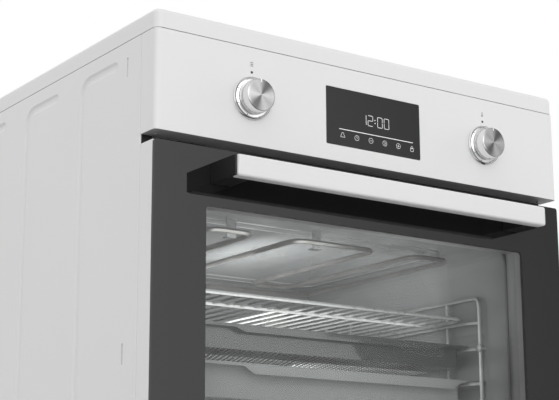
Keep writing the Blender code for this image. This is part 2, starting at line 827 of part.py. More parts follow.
def ring_element():
    """The round heater about the fan, with its two ends through the back wall."""
    y = FRONT + 0.436
    radius = 0.088
    first, last = ELEMENT_ENDS[1], ELEMENT_ENDS[0]
    path = [(first, ELEMENT_BACK, RING_END_LEVEL), (first, y, RING_END_LEVEL)]
    path += [(x, y, z) for x, z in arc((0, FAN_Z), radius, -72, 252, 18)]
    path += [(last, y, RING_END_LEVEL), (last, ELEMENT_BACK, RING_END_LEVEL)]
    ring = tube("ring_element", [[Vector(point) for point in path]], ELEMENT_RADIUS)
    return give_finish(ring, "element")


def fan_cover():
    """The perforated baffle in front of the fan: a shallow box, open towards the wall."""
    front, back = FRONT + 0.4165, CAVITY_BACK - GAP
    low, high = (-FAN_COVER_HALF, FAN_COVER_BASE), (FAN_COVER_HALF, FAN_COVER_TOP)
    cover = plate("fan_cover", [rounded_rectangle(low, high, 0.010, 3)], front, back, "Y")
    inner_low = (low[0] + SHEET, low[1] + SHEET)
    inner_high = (high[0] - SHEET, high[1] - SHEET)
    inner = rounded_rectangle(inner_low, inner_high, 0.009, 3)
    cut(cover, plate("fan_cover_inside", [inner], front + SHEET, back + 0.010, "Y"))
    holes = []
    for row in range(-3, 4):
        for column in range(-3, 4):
            if row * row + column * column < 12:
                holes.append(obround((0.017 * column, FAN_Z + 0.014 * row), 0.012, 0.005, False, 2))
    cut(cover, plate("fan_cover_holes", holes, front - 0.005, front + 0.006, "Y"))
    return give_finish(cover, "grey_enamel")


def fan_impeller():
    """The fan wheel: a back disc, eight radial blades, a hub and the shaft into the motor."""
    disc_front, disc_back = FRONT + 0.4440, FRONT + 0.4455
    wheel = cylinder(
        "fan_impeller", (0, (disc_front + disc_back) / 2, FAN_Z), FAN_RADIUS, 0.0015, "Y", 32
    )
    blade_front = FRONT + 0.426
    hub_centre = (0, (blade_front + disc_back) / 2, FAN_Z)
    fuse(wheel, cylinder("fan_hub", hub_centre, 0.009, disc_back - blade_front, "Y", 16))
    shaft_end = FRONT + 0.4700
    shaft_centre = (0, (disc_front + shaft_end) / 2, FAN_Z)
    fuse(wheel, cylinder("fan_shaft", shaft_centre, 0.004, shaft_end - disc_front, "Y", 12))
    for index in range(8):
        angle = index * math.pi / 4
        blade = box(
            f"fan_blade_{index}", (0.030, blade_front, -0.0006), (0.070, disc_front + 0.0007, 0.0006)
        )
        turn = Matrix.Translation((0, 0, FAN_Z)) @ Matrix.Rotation(angle, 4, "Y")
        blade.matrix_world = turn @ Matrix.Translation(blade.location)
        fuse(wheel, blade)
    return give_finish(wheel, "galvanised")


def fan_motor():
    """The fan's motor behind the cavity, with a bore for the shaft."""
    front, back = CAVITY_BACK + SHEET + 0.0006, FRONT + 0.535
    centre = (0, (front + back) / 2, FAN_Z)
    motor = cylinder("fan_motor", centre, 0.030, back - front, "Y", 24)
    bore = (0, front + 0.010, FAN_Z)
    cut(motor, cylinder("fan_motor_bore", bore, 0.0044, 0.030, "Y", 12))
    return give_finish(motor, "galvanised")


def oven_lamp():
    """The lamp holder, set into the back wall, with its domed glass cover."""
    base = -0.024
    profile = [(0, 0.012), (0.010, 0.0112), (0.018, 0.008), (0.0235, 0.002), (0.0240, GAP)]
    profile += [(0.0205, GAP), (0.0205, base), (0, base)]
    place = (LAMP_PLACE[0], CAVITY_BACK, LAMP_PLACE[1])
    return give_finish(turned("oven_lamp", profile, place, "Y", 24), "clear_glass")


# ---------------------------------------------------------------- racks, shelf and trays


def side_rack(name, sign):
    """A wire rack on a cavity wall: a frame, two posts and five shelf guides."""
    x = sign * RACK_X
    corners = [(RACK_FRONT, RACK_BASE), (RACK_BACK, RACK_BASE)]
    corners += [(RACK_BACK, RACK_TOP), (RACK_FRONT, RACK_TOP)]
    loop = rounded_path([(x, y, z) for y, z in corners], 0.012, 3, True)
    rack = tube(name, [loop], WIRE, 6, True)
    for part, y in (("front", RACK_FRONT + RACK_POST_SETBACK), ("back", RACK_BACK - 0.060)):
        post = [(x, y, RACK_BASE - 0.0006), (x, y, RACK_TOP + 0.0006)]
        fuse(rack, tube(f"{name}_{part}_post", [post], THIN_WIRE, 6))
    guide_x = sign * GUIDE_X
    for index, level in enumerate(GUIDE_LEVELS):
        near, far = RACK_FRONT - 0.0007, RACK_BACK + 0.0007
        corners = [(x, near, level), (guide_x, near + 0.012, level)]
        corners += [(guide_x, far - 0.012, level), (x, far, level)]
        path = rounded_path(corners, 0.006, 2)
        fuse(rack, tube(f"{name}_guide_{index}", [path], THIN_WIRE, 6))
    return give_finish(rack, "chrome")


def wire_shelf():
    """The chrome shelf: a frame, two cross rails and bars from front to back."""
    z = SHELF_LEVEL
    low, high = (-SHELF_HALF, SHELF_FRONT), (SHELF_HALF, SHELF_BACK)
    loop = [(x, y, z) for x, y in rounded_rectangle(low, high, 0.016, 3)]
    shelf = tube("wire_shelf", [loop], WIRE, 6, True)
    for index, y in enumerate((FRONT + 0.165, SHELF_BACK - 0.060)):
        rail = [(-SHELF_HALF, y, z), (SHELF_HALF, y, z)]
        fuse(shelf, tube(f"shelf_rail_{index}", [rail], THIN_WIRE, 6))
    spacing = 2 * SHELF_HALF / (SHELF_BARS + 1)
    for index in range(SHELF_BARS):
        x = spacing * (index + 1) - SHELF_HALF
        bar = [(x, SHELF_FRONT, z + 0.0012), (x, SHELF_BACK, z + 0.0012)]
        fuse(shelf, tube(f"shelf_bar_{index}", [bar], 0.0014, 6))
    return give_finish(shelf, "chrome")


def oven_tray(name, rim, base, lip, span, finish):
    """A pressed tray: a rim that rests on the guides, and a front lip that is deep over a span."""
    rim_low, rim_high = (-TRAY_RIM_HALF, TRAY_FRONT), (TRAY_RIM_HALF, TRAY_BACK)
    outline = rounded_rectangle(rim_low, rim_high, 0.010, 3)
    edge = TRAY_RIM_HALF - TRAY_HALF
    low = (-TRAY_HALF, TRAY_FRONT + edge)
    high = (TRAY_HALF, TRAY_BACK - edge)
    inner_low = (low[0] + SHEET, low[1] + SHEET)
    inner_high = (high[0] - SHEET, high[1] - SHEET)
    outer = rounded_rectangle(low, high, TRAY_CORNER, 3)
    inner = rounded_rectangle(inner_low, inner_high, TRAY_CORNER - SHEET, 3)
    tray = plate(name, [outline], rim - SHEET, rim, "Z")
    fuse(tray, plate(name + "_body", [outer], base, rim - SHEET / 2, "Z"))
    cut(tray, plate(name + "_inside", [inner], base + SHEET, rim + 0.010, "Z"))
    end, shallow = TRAY_RIM_HALF - 0.012, rim - 0.0035
    left, right = span
    edge_line = [(end, rim - SHEET / 2), (end, shallow + GAP), (right + LIP_STEP, shallow)]
    edge_line += [(right, rim - lip), (left, rim - lip), (left - LIP_STEP, shallow)]
    edge_line += [(-end, shallow + GAP), (-end, rim - SHEET / 2)]
    lip_front = TRAY_FRONT + GAP
    fuse(tray, plate(name + "_lip", [edge_line], lip_front, lip_front + SHEET, "Y"))
    return give_finish(tray, finish)


# ---------------------------------------------------------------- door


def door_outer_glass():
    """The dark front glass, as wide as the oven."""
    half = SIDE - 0.0003
    outline = rounded_rectangle((-half, DOOR_BASE), (half, DOOR_TOP), 0.003, 3)
    glass = plate("door_outer_glass", [outline], FRONT, FRONT + GLASS, "Y")
    return give_finish(glass, "black_glass")


def window_pane(name, depth):
    """A clear pane inside the door's window opening."""
    edge = 0.0012
    low = (edge - WINDOW_HALF, WINDOW_BASE + edge)
    high = (WINDOW_HALF - edge, WINDOW_TOP - edge)
    start = FRONT + depth
    pane = plate(name, [rounded_rectangle(low, high, 0.004, 2)], start, start + GLASS, "Y")
    return give_finish(pane, "clear_glass")


def door_side(name, sign):
    """A white channel that closes a side edge of the door."""
    inner, outer = SIDE - 0.0105, SIDE - 0.0003
    front, back = FRONT + GLASS + GAP, DOOR_BACK
    outline = [(inner, front), (outer, front), (outer, back), (inner, back)]
    outline += [(inner, back - SHEET), (outer - SHEET, back - SHEET)]
    outline += [(outer - SHEET, front + SHEET), (inner, front + SHEET)]
    outline = [(sign * x, y) for x, y in outline]
    return give_finish(plate(name, [outline], DOOR_BASE, DOOR_TOP, "Z"), "white_enamel")


def door_frame():
    """The door's inner pressing: a back sheet with a walled window opening, open in front."""
    wall = 0.0015
    half = SIDE - 0.0110
    base, top = DOOR_BASE + 0.003, DOOR_TOP - 0.001
    front = FRONT + GLASS + 0.0006
    outline = rounded_rectangle((-half, base), (half, top), 0.003, 2)
    window = rectangle((-WINDOW_HALF, WINDOW_BASE), (WINDOW_HALF, WINDOW_TOP))
    frame = plate("door_frame", [outline, window], front, DOOR_BACK, "Y")
    pocket = rectangle((wall - half, base + wall), (half - wall, top - wall))
    collar_low = (-WINDOW_HALF - wall, WINDOW_BASE - wall)
    collar_high = (WINDOW_HALF + wall, WINDOW_TOP + wall)
    collar = rectangle(collar_low, collar_high)
    cut(frame, plate("door_frame_pocket", [pocket, collar], FRONT, DOOR_BACK - wall, "Y"))
    for sign in (-1, 1):
        low = (sign * HINGE_X - 0.0045, FRONT, DOOR_BASE - 0.001)
        high = (sign * HINGE_X + 0.0075, DOOR_BACK + 0.001, HINGE_Z + 0.011)
        if sign < 0:
            low = (sign * HINGE_X - 0.0075, *low[1:])
            high = (sign * HINGE_X + 0.0045, *high[1:])
        cut(frame, box(f"door_frame_notch_{sign + 1}", low, high))
    return give_finish(frame, "black_enamel")


def handle_bar():
    """The handle's bar, with rounded edges. The brackets' caps close its two ends."""
    half = HANDLE_HALF - HANDLE_CAP - GAP
    back = HANDLE_FRONT + HANDLE_THICK
    outline = rounded_rectangle((-half, HANDLE_FRONT), (half, back), 0.003, 4)
    bar = plate("handle_bar", [outline], HANDLE_BASE, HANDLE_TOP, "Z")
    round_rims(bar, (-1, 1), 0.003, 3)
    return give_finish(bar, "white_enamel")


def handle_bracket(name, sign):
    """The foot at one end of the handle, from its bar to the glass, with a cap over the bar's end."""
    inner, outer = HANDLE_HALF - 0.026, HANDLE_HALF
    cap, front = outer - HANDLE_CAP, HANDLE_FRONT + 0.003
    bar_back, back = HANDLE_FRONT + HANDLE_THICK + GAP, FRONT - GAP
    outline = [(cap, front), (outer, front), (outer, back), (inner, back)]
    outline += [(inner, bar_back), (cap, bar_back)]
    outline = [(sign * x, y) for x, y in outline]
    bracket = plate(name, [outline], HANDLE_BASE + 0.0004, HANDLE_TOP - 0.0004, "Z")
    round_rims(bracket, (-1, 1), 0.0009, 2)
    return give_finish(bracket, "black_plastic")


def hinge_arm(name, sign):
    """The fixed half of a door hinge: a box in the oven's frame and an arm to the pivot."""
    near, far = sorted((sign * (HINGE_X - 0.002), sign * (HINGE_X + 0.002)))
    nose = [(y, z) for y, z in arc((HINGE_Y, HINGE_Z), 0.0045, 90, 270, 6)]
    root = FRAME_BACK + 0.010
    outline = nose + [(root, HINGE_Z - 0.0045), (root, HINGE_Z + 0.0045)]
    arm = plate(name, [outline, circle((HINGE_Y, HINGE_Z), 0.0024, 10)], near, far, "X")
    case_near, case_far = sorted((sign * (HINGE_X - 0.009), sign * (HINGE_X + 0.009)))
    low = (case_near, FRAME_BACK + 0.0006, FRAME_BASE + 0.003)
    high = (case_far, FRAME_BACK + 0.100, 0.262)
    fuse(arm, box(name + "_case", low, high))
    return give_finish(arm, "galvanised")


def hinge_leaf(name, sign):
    """The door's half of a hinge: a flat leaf inside the door and its pin through the arm."""
    start, end = HINGE_X + 0.0024, HINGE_X + 0.0050
    near, far = sorted((sign * start, sign * end))
    outline = arc((HINGE_Y, HINGE_Z), 0.0045, 180, 360, 6)
    outline += [(HINGE_Y + 0.0120, 0.250), (HINGE_Y + 0.0120, 0.290)]
    outline += [(HINGE_Y - 0.0045, 0.290)]
    leaf = plate(name, [outline], near, far, "X")
    middle = sign * (HINGE_X + 0.0005)
    fuse(leaf, cylinder(name + "_pin", (middle, HINGE_Y, HINGE_Z), 0.0020, 0.006, "X", 10))
    return give_finish(leaf, "galvanised")


# ---------------------------------------------------------------- drawer


def drawer_front():
    """The drawer's front, hollow at the back."""
    skin = 0.0015
    half = SIDE - 0.0003
    outline = rounded_rectangle((-half, DRAWER_BASE), (half, DRAWER_TOP), 0.003, 3)
    front = plate("drawer_front", [outline], FRONT, DOOR_BACK, "Y")
    round_rims(front, (1,), 0.002, 3)
    low = (skin - half, FRONT + skin, DRAWER_BASE + skin)
    high = (half - skin, DOOR_BACK + 0.010, DRAWER_TOP - skin)
    cut(front, box("drawer_front_inside", low, high))
    return give_finish(front, "white_enamel")


def drawer_box():
    """The drawer's open sheet box."""
    low = (-0.256, DOOR_BACK + GAP, 0.100)
    high = (0.256, FRONT + 0.455, 0.190)
    drawer = box("drawer_box", low, high)
    wall = Vector((SHEET, SHEET, SHEET))
    inner_high = Vector(high) - wall
    inner_high.z = high[2] + 0.010
    cut(drawer, box("drawer_box_inside", Vector(low) + wall, inner_high))
    return give_finish(drawer, "galvanised")


def drawer_runner(name, sign):
    """A channel on the side of the body, which the drawer runs along."""
    outer, inner = 0.2700, 0.2585
    outline = [(inner, 0.138), (outer, 0.138), (outer, 0.162), (inner, 0.162)]
    outline += [(inner, 0.1608), (outer - SHEET, 0.1608), (outer - SHEET, 0.1392), (inner, 0.1392)]
    outline = [(sign * x, z) for x, z in outline]
    runner = plate(name, [outline], FRONT + 0.045, FRONT + 0.465, "Y")
    return give_finish(runner, "galvanised")


# ---------------------------------------------------------------- assembly


def build():
    for name, sign in (("left", -1), ("right", 1)):
        side_panel(f"side_panel_{name}", sign)
        side_rack(f"side_rack_{name}", sign)
        hinge_arm(f"hinge_arm_{name}", sign)
        drawer_runner(f"drawer_runner_{name}", sign)
        knob_bezel(f"knob_bezel_{name}", sign * KNOB_X)
    rear_panel()
    terminal_box()
    base_tray()
    for name, place in FOOT_PLACES.items():
        foot(name, place)
    plinth_front()
    hob_frame()
    hob_glass()
    for name, (x, radius, depth) in HEATERS.items():
        radiant_heater(name, (x, FRONT + depth), radius)
    hob_undertray()
    control_panel()
    display_glass()
    timer_module()
    panel_lower_trim()
    rotary_switch("function_switch", -KNOB_X)
    rotary_switch("thermostat_switch", KNOB_X)
    front_frame()
    oven_cavity()
    insulation()
    door_seal()
    grill_element()
    bottom_element()
    ring_element()
    fan_cover()
    fan_motor()
    oven_lamp()
    hang_on("fan_axis", (0, CAVITY_BACK, FAN_Z), [fan_impeller()])
    hang_on("wire_shelf_slide", (0, SHELF_FRONT, SHELF_LEVEL), [wire_shelf()])
    shallow = oven_tray("baking_tray", 0.527, 0.499, 0.0085, SHALLOW_LIP_SPAN, "black_enamel")
    hang_on("baking_tray_slide", (0, TRAY_FRONT, 0.527), [shallow])
    deep = oven_tray("deep_tray", 0.483, 0.443, 0.012, DEEP_LIP_SPAN, "grey_enamel")
    hang_on("deep_tray_slide", (0, TRAY_FRONT, 0.483), [deep])
    door = [
        door_outer_glass(),
        window_pane("door_middle_glass", 0.0140),
        window_pane("door_inner_glass", 0.0250),
        door_frame(),
        door_side("door_side_left", -1),
        door_side("door_side_right", 1),
        handle_bar(),
        handle_bracket("handle_bracket_left", -1),
        handle_bracket("handle_bracket_right", 1),
        hinge_leaf("hinge_leaf_left", -1),
        hinge_leaf("hinge_leaf_right", 1),
    ]
    hang_on("door_hinge", (0, HINGE_Y, HINGE_Z), door)
    hang_on("drawer_slide", (0, FRONT, DRAWER_BASE), [drawer_front(), drawer_box()])
    hang_on("knob_left_axis", (-KNOB_X, FRONT, KNOB_Z), [knob("knob_left", -KNOB_X)])
    hang_on("knob_right_axis", (KNOB_X, FRONT, KNOB_Z), [knob("knob_right", KNOB_X)])


build()
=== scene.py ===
"""The looks of a freestanding electric oven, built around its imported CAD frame.

Metres, +Z up. The front faces -Y. Places come from the frame's boxes. The sizes of printed
marks, screws, pips and louvres are named here or in the functions that make them.
"""

import json
import math

import bmesh
import bpy
from mathutils import Matrix, Vector


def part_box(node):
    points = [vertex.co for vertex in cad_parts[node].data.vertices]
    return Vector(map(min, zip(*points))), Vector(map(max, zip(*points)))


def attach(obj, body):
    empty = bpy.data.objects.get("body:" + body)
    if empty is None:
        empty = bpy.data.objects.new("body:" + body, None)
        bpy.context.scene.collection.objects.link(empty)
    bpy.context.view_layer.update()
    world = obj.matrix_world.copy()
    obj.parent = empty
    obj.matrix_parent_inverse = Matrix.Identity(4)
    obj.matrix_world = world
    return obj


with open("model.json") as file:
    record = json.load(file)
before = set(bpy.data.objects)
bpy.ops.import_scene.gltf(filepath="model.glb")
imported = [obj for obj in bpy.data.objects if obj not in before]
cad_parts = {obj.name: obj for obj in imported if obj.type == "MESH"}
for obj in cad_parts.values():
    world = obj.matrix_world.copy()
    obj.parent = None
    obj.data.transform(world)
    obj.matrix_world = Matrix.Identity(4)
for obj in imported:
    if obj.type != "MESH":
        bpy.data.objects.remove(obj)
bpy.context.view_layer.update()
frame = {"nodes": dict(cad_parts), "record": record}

NODES = frame["nodes"]

# Camera: where it stands, where it looks and its lens
CAMERA_PLACE = (-1.0636, -1.5857, 0.2769)
CAMERA_AZIMUTH = math.radians(35.22)
CAMERA_ELEVATION = math.radians(13.27)
CAMERA_ROLL = math.radians(-0.24)
CAMERA_LENS = 95.17

# Clear area of the outer door glass
WINDOW_HALF = 0.234
WINDOW_BASE = 0.300
WINDOW_TOP = 0.637
WINDOW_CORNER = 0.004

# Slots near the front of each side panel, by their drop from its top
SIDE_SHEET = 0.0012
SLOT_Y = -0.213
SLOT_BACK_HALF = (0.006, 0.016)
SLOT_DROPS = (0.030, 0.349, 0.669)

# The pressed ring in the cavity's ceiling
CEILING = 0.650
RING_CENTRE = (0.0, -0.0105)
RING_HALF = (0.204, 0.163)
CLIP_PLACES = (-0.145, -0.022)

# Level of the nuts that hold the wire racks
BOLT_LEVEL = 0.5250

# Printing stands this far off the surface that carries it
INK = 0.00008

# The print over each knob, measured up from the knob's axis, and the scale on its bezel
DOT_RISE = 0.0310
DOT_RADIUS = 0.0016
SYMBOL_RISE = 0.0405
SYMBOL_HALF = 0.0018
SCALE_LINES = (0.0212, 0.0243)
SCALE_LINE_WIDTH = 0.0003
SCALE_MARK_RADIUS = 0.0222
SCALE_DEPTH = (-0.0004, 0.0002)

# Touch signs in a row at the front of the hob
SIGN_PITCH = 0.026
SIGN_RADIUS = 0.0052
SIGN_LINE = 0.0006
SIGN_STROKE = 0.0007
SIGN_HALF = 0.0024


# ---------------------------------------------------------------- material recipes


class Recipe:
    """A node material around one Principled shader, with rest coordinates in metres."""

    def __init__(self, name, colour, roughness, metallic=0.0):
        self.material = bpy.data.materials.new(name)
        self.material.use_nodes = True
        self.tree = self.material.node_tree
        self.shader = self.tree.nodes["Principled BSDF"]
        self.put("Base Color", (*colour, 1.0))
        self.put("Roughness", roughness)
        self.put("Metallic", metallic)
        self.place = self.node("ShaderNodeTexCoord").outputs["Object"]

    def put(self, socket, value):
        self.shader.inputs[socket].default_value = value

    def node(self, kind, inputs=None, **settings):
        node = self.tree.nodes.new(kind)
        for name, value in settings.items():
            setattr(node, name, value)
        for socket, value in (inputs or {}).items():
            self.join(value, node.inputs[socket])
        return node

    def join(self, value, socket):
        if isinstance(value, bpy.types.NodeSocket):
            self.tree.links.new(value, socket)
        else:
            socket.default_value = value

    def math(self, operation, *values):
        node = self.node("ShaderNodeMath", dict(enumerate(values)), operation=operation)
        return node.outputs[0]

    def spread(self, value, low, high, start=0.0, end=1.0):
        """The value carried from the range start to end into the range low to high."""
        inputs = {"Value": value, "From Min": start, "From Max": end, "To Min": low, "To Max": high}
        return self.node("ShaderNodeMapRange", inputs).outputs["Result"]

    def stretched(self, scale):
        inputs = {"Vector": self.place, "Scale": scale}
        return self.node("ShaderNodeMapping", inputs).outputs["Vector"]

    def noise(self, scale, detail=2.0, place=None):
        inputs = {"Vector": place or self.place, "Scale": scale, "Detail": detail}
        return self.node("ShaderNodeTexNoise", inputs).outputs["Fac"]

    def cells(self, scale, output="Distance"):
        inputs = {"Vector": self.place, "Scale": scale}
        return self.node("ShaderNodeTexVoronoi", inputs).outputs[output]

    def blend(self, factor, first, second):
        """The colour between two colours."""
        node = self.node("ShaderNodeMix", data_type="RGBA")
        self.join(factor, node.inputs[0])
        for colour, socket in ((first, node.inputs[6]), (second, node.inputs[7])):
            self.join((*colour, 1.0) if isinstance(colour, tuple) else colour, socket)
        return node.outputs[2]

    def colour(self, value):
        self.join(value, self.shader.inputs["Base Color"])

    def roughness(self, value):
        self.join(value, self.shader.inputs["Roughness"])

    def bump(self, height, distance, strength=1.0):
        inputs = {"Height": height, "Distance": distance, "Strength": strength}
        normal = self.node("ShaderNodeBump", inputs).outputs["Normal"]
        self.join(normal, self.shader.inputs["Normal"])

    def surface(self, socket):
        self.join(socket, self.tree.nodes["Material Output"].inputs["Surface"])


def white_enamel():
    """Stove enamel on sheet steel: a faint cloudiness and a fine orange peel."""
    recipe = Recipe("white_enamel", (0.80, 0.80, 0.80), 0.30)
    recipe.colour(recipe.blend(recipe.noise(5.0), (0.785, 0.785, 0.783), (0.815, 0.815, 0.813)))
    recipe.roughness(recipe.spread(recipe.noise(40.0), 0.27, 0.36))
    recipe.bump(recipe.noise(600.0, 1.0), 0.00002)
    return recipe.material


def speckled_enamel(name, dark, light, gloss, density):
    """Oven enamel: a dark coat with small paler specks and a slightly wavy gloss."""
    recipe = Recipe(name, dark, gloss)
    ground = recipe.blend(recipe.noise(18.0, 3.0), dark, tuple(1.25 * part for part in dark))
    speck = recipe.spread(recipe.cells(900.0), 1.0, 0.0, 0.0, density)
    recipe.colour(recipe.blend(speck, ground, light))
    recipe.roughness(recipe.spread(recipe.noise(30.0), gloss - 0.04, gloss + 0.06))
    recipe.bump(recipe.noise(60.0, 2.0), 0.00003)
    return recipe.material


def black_enamel():
    return speckled_enamel("black_enamel", (0.014, 0.014, 0.015), (0.10, 0.10, 0.10), 0.26, 0.22)


def grey_enamel():
    return speckled_enamel("grey_enamel", (0.150, 0.152, 0.155), (0.18, 0.18, 0.18), 0.14, 0.25)


def tray_enamel():
    return speckled_enamel("tray_enamel", (0.036, 0.037, 0.038), (0.055, 0.055, 0.055), 0.09, 0.25)


def collar_steel():
    """The steel inside the door, seen at a low angle through the glass."""
    recipe = Recipe("collar_steel", (0.25, 0.25, 0.25), 0.42, 0.3)
    streaks = recipe.noise(90.0, 2.0, recipe.stretched((0.2, 1.0, 8.0)))
    recipe.colour(recipe.blend(streaks, (0.22, 0.22, 0.22), (0.29, 0.29, 0.29)))
    recipe.bump(streaks, 0.00003)
    return recipe.material


def galvanised():
    """Zinc-coated sheet with its crystal spangle."""
    recipe = Recipe("galvanised", (0.62, 0.63, 0.64), 0.42, 1.0)
    crystal = recipe.node(
        "ShaderNodeSeparateColor", {"Color": recipe.cells(90.0, "Color")}
    ).outputs[0]
    recipe.colour(recipe.blend(crystal, (0.54, 0.55, 0.56), (0.70, 0.71, 0.72)))
    recipe.roughness(recipe.spread(crystal, 0.34, 0.50))
    recipe.bump(recipe.noise(500.0, 2.0), 0.00002)
    return recipe.material


def chrome():
    """Bright wire and rings, with fine handling marks."""
    recipe = Recipe("chrome", (0.86, 0.86, 0.86), 0.12, 1.0)
    haze = recipe.noise(120.0, 3.0)
    recipe.colour(recipe.blend(haze, (0.82, 0.82, 0.82), (0.90, 0.90, 0.90)))
    recipe.roughness(recipe.spread(haze, 0.08, 0.20))
    recipe.bump(recipe.noise(1500.0, 1.0), 0.000006)
    return recipe.material


def bright_wire():
    """Nickelled oven wire and clips: a pale, satin finish with draw marks, with a painted highlight
    along each wire's middle and painted shade towards its outline.
    """
    recipe = Recipe("bright_wire", (0.62, 0.62, 0.62), 0.30, 0.25)
    marks = recipe.noise(160.0, 3.0)
    # Painted highlight and shade: the colour is pale where the wire faces the view and darkens towards
    # its outline.
    facing = recipe.node("ShaderNodeLayerWeight", {"Blend": 0.5}).outputs["Facing"]
    marks_and_painted_highlight = recipe.blend(marks, (0.36, 0.36, 0.36), (0.50, 0.50, 0.50))
    recipe.colour(recipe.blend(recipe.spread(facing, 0.0, 1.0, 0.15, 0.75), marks_and_painted_highlight, (0.10, 0.10, 0.10)))
    recipe.roughness(recipe.spread(marks, 0.22, 0.36))
    recipe.bump(recipe.noise(1200.0, 1.0), 0.000010)
    return recipe.material


def turned_metal(name, x, z, face):
    """Metal whose face was turned on a lathe: rings round a knob's axis bumped into it, and light and
    dark wedges round the axis set into its colour as a painted reflection, on a plain rim.
    """
    recipe = Recipe(name, (0.80, 0.80, 0.80), 0.22, 1.0)
    parts = recipe.node("ShaderNodeSeparateXYZ", {"Vector": recipe.place}).outputs
    across = recipe.math("SUBTRACT", parts["X"], x)
    up = recipe.math("SUBTRACT", parts["Z"], z)
    squares = (recipe.math("POWER", across, 2.0), recipe.math("POWER", up, 2.0))
    radius = recipe.math("SQRT", recipe.math("ADD", *squares))
    angle = recipe.math("ARCTAN2", up, across)
    rings = recipe.math("SINE", recipe.math("MULTIPLY", radius, 16000.0))
    # Painted reflection: light and dark wedges round the axis, set into the face's colour.
    sweep = recipe.math("SINE", recipe.math("ADD", recipe.math("MULTIPLY", angle, 4.0), 0.9))
    broad = recipe.math("SINE", recipe.math("ADD", recipe.math("MULTIPLY", angle, 2.0), 2.4))
    fan = recipe.math("ADD", recipe.math("MULTIPLY", sweep, 0.7), broad)
    painted_sheen = recipe.spread(fan, 0.0, 1.0, -1.5, 1.5)
    painted_wedges_colour = recipe.blend(painted_sheen, (0.16, 0.16, 0.16), (0.72, 0.72, 0.72))
    on_face = recipe.math("LESS_THAN", parts["Y"], face + 0.0008)
    recipe.colour(recipe.blend(on_face, (0.90, 0.90, 0.90), painted_wedges_colour))
    recipe.bump(rings, 0.000004)
    recipe.put("Anisotropic", 0.75)
    tangent = recipe.node("ShaderNodeTangent", direction_type="RADIAL", axis="Y")
    recipe.join(tangent.outputs["Tangent"], recipe.shader.inputs["Tangent"])
    return recipe.material


def element_steel():
    """A heater's sheath, darkened unevenly by heat."""
    recipe = Recipe("element_steel", (0.30, 0.29, 0.28), 0.38, 0.85)
    recipe.colour(recipe.blend(recipe.noise(45.0, 3.0), (0.22, 0.215, 0.21), (0.46, 0.45, 0.44)))
    recipe.bump(recipe.noise(900.0, 2.0), 0.00003)
    return recipe.material


def moulded_plastic(name, shade, roughness):
    """Moulded plastic with a fine spark-eroded grain."""
    recipe = Recipe(name, (shade, shade, shade), roughness)
    recipe.colour(
        recipe.blend(recipe.noise(30.0), (shade * 0.85,) * 3, (shade * 1.25,) * 3)
    )
    recipe.roughness(recipe.spread(recipe.noise(80.0), roughness - 0.05, roughness + 0.08))
    recipe.bump(recipe.noise(1600.0, 2.0), 0.00004)
    return recipe.material


def black_plastic():
    return moulded_plastic("black_plastic", 0.010, 0.42)


def grey_plastic():
    return moulded_plastic("grey_plastic", 0.10, 0.50)


def dark_trim():
    """Grey, a little uneven, on the strip under the control panel."""
    recipe = Recipe("dark_trim", (0.52, 0.52, 0.52), 0.38)
    recipe.colour(recipe.blend(recipe.noise(25.0), (0.48, 0.48, 0.48), (0.56, 0.56, 0.56)))
    recipe.bump(recipe.noise(900.0, 1.0), 0.00002)
    return recipe.material


def heater_board():
    """Pressed insulating board: chalky, with pores."""
    recipe = Recipe("heater_board", (0.60, 0.58, 0.54), 0.92)
    pores = recipe.cells(500.0)
    recipe.colour(recipe.blend(pores, (0.46, 0.44, 0.41), (0.68, 0.66, 0.62)))
    recipe.bump(pores, 0.0002)
    return recipe.material


def wool():
    """Mineral wool: matted fibres."""
    recipe = Recipe("wool", (0.70, 0.64, 0.48), 0.95)
    fibres = recipe.noise(260.0, 5.0, recipe.stretched((1.0, 1.0, 0.15)))
    recipe.colour(recipe.blend(fibres, (0.55, 0.49, 0.35), (0.82, 0.77, 0.62)))
    recipe.bump(fibres, 0.0010)
    recipe.put("Sheen Weight", 0.3)
    return recipe.material


def seal_braid():
    """A woven glass-fibre seal: two sets of strands crossing."""
    recipe = Recipe("seal_braid", (0.16, 0.16, 0.16), 0.85)
    first = recipe.node(
        "ShaderNodeTexWave", {"Vector": recipe.stretched((1.0, 1.0, 1.0)), "Scale": 160.0}
    ).outputs["Fac"]
    second = recipe.node(
        "ShaderNodeTexWave", {"Vector": recipe.stretched((1.0, 1.0, -1.0)), "Scale": 160.0}
    ).outputs["Fac"]
    weave = recipe.math("MAXIMUM", first, second)
    recipe.colour(recipe.blend(weave, (0.09, 0.09, 0.09), (0.26, 0.26, 0.26)))
    recipe.bump(weave, 0.0003)
    return recipe.material


def print_ink(name, shade):
    """Screen printing, with a slightly uneven film."""
    recipe = Recipe(name, (shade, shade, shade), 0.45)
    recipe.colour(recipe.blend(recipe.noise(400.0), (shade * 0.9,) * 3, (shade * 1.1,) * 3))
    return recipe.material


def lit_mark():
    """The clock's lit segments, a little uneven like a vacuum display."""
    recipe = Recipe("lit_mark", (0.75, 0.75, 0.75), 0.4)
    glow = recipe.blend(recipe.noise(300.0), (0.80, 0.80, 0.80), (1.0, 1.0, 1.0))
    recipe.join(glow, recipe.shader.inputs["Emission Color"])
    recipe.put("Emission Strength", 0.35)
    return recipe.material


def black_glass(name, shade):
    """Back-painted glass: a black ground under a clear gloss, with faint dust."""
    recipe = Recipe(name, (shade, shade, shade), 0.03)
    recipe.colour(recipe.blend(recipe.noise(12.0), (shade * 0.9,) * 3, (shade * 1.1,) * 3))
    recipe.roughness(recipe.spread(recipe.noise(60.0, 4.0), 0.02, 0.06))
    return recipe


def display_glass():
    return black_glass("display_glass", 0.006).material


def hob_ceramic():
    """Glass ceramic with its fine dotted underprint."""
    recipe = black_glass("hob_ceramic", 0.012)
    dots = recipe.spread(recipe.cells(260.0), 1.0, 0.0, 0.10, 0.16)
    recipe.colour(recipe.blend(dots, (0.012, 0.012, 0.012), (0.035, 0.035, 0.036)))
    return recipe.material


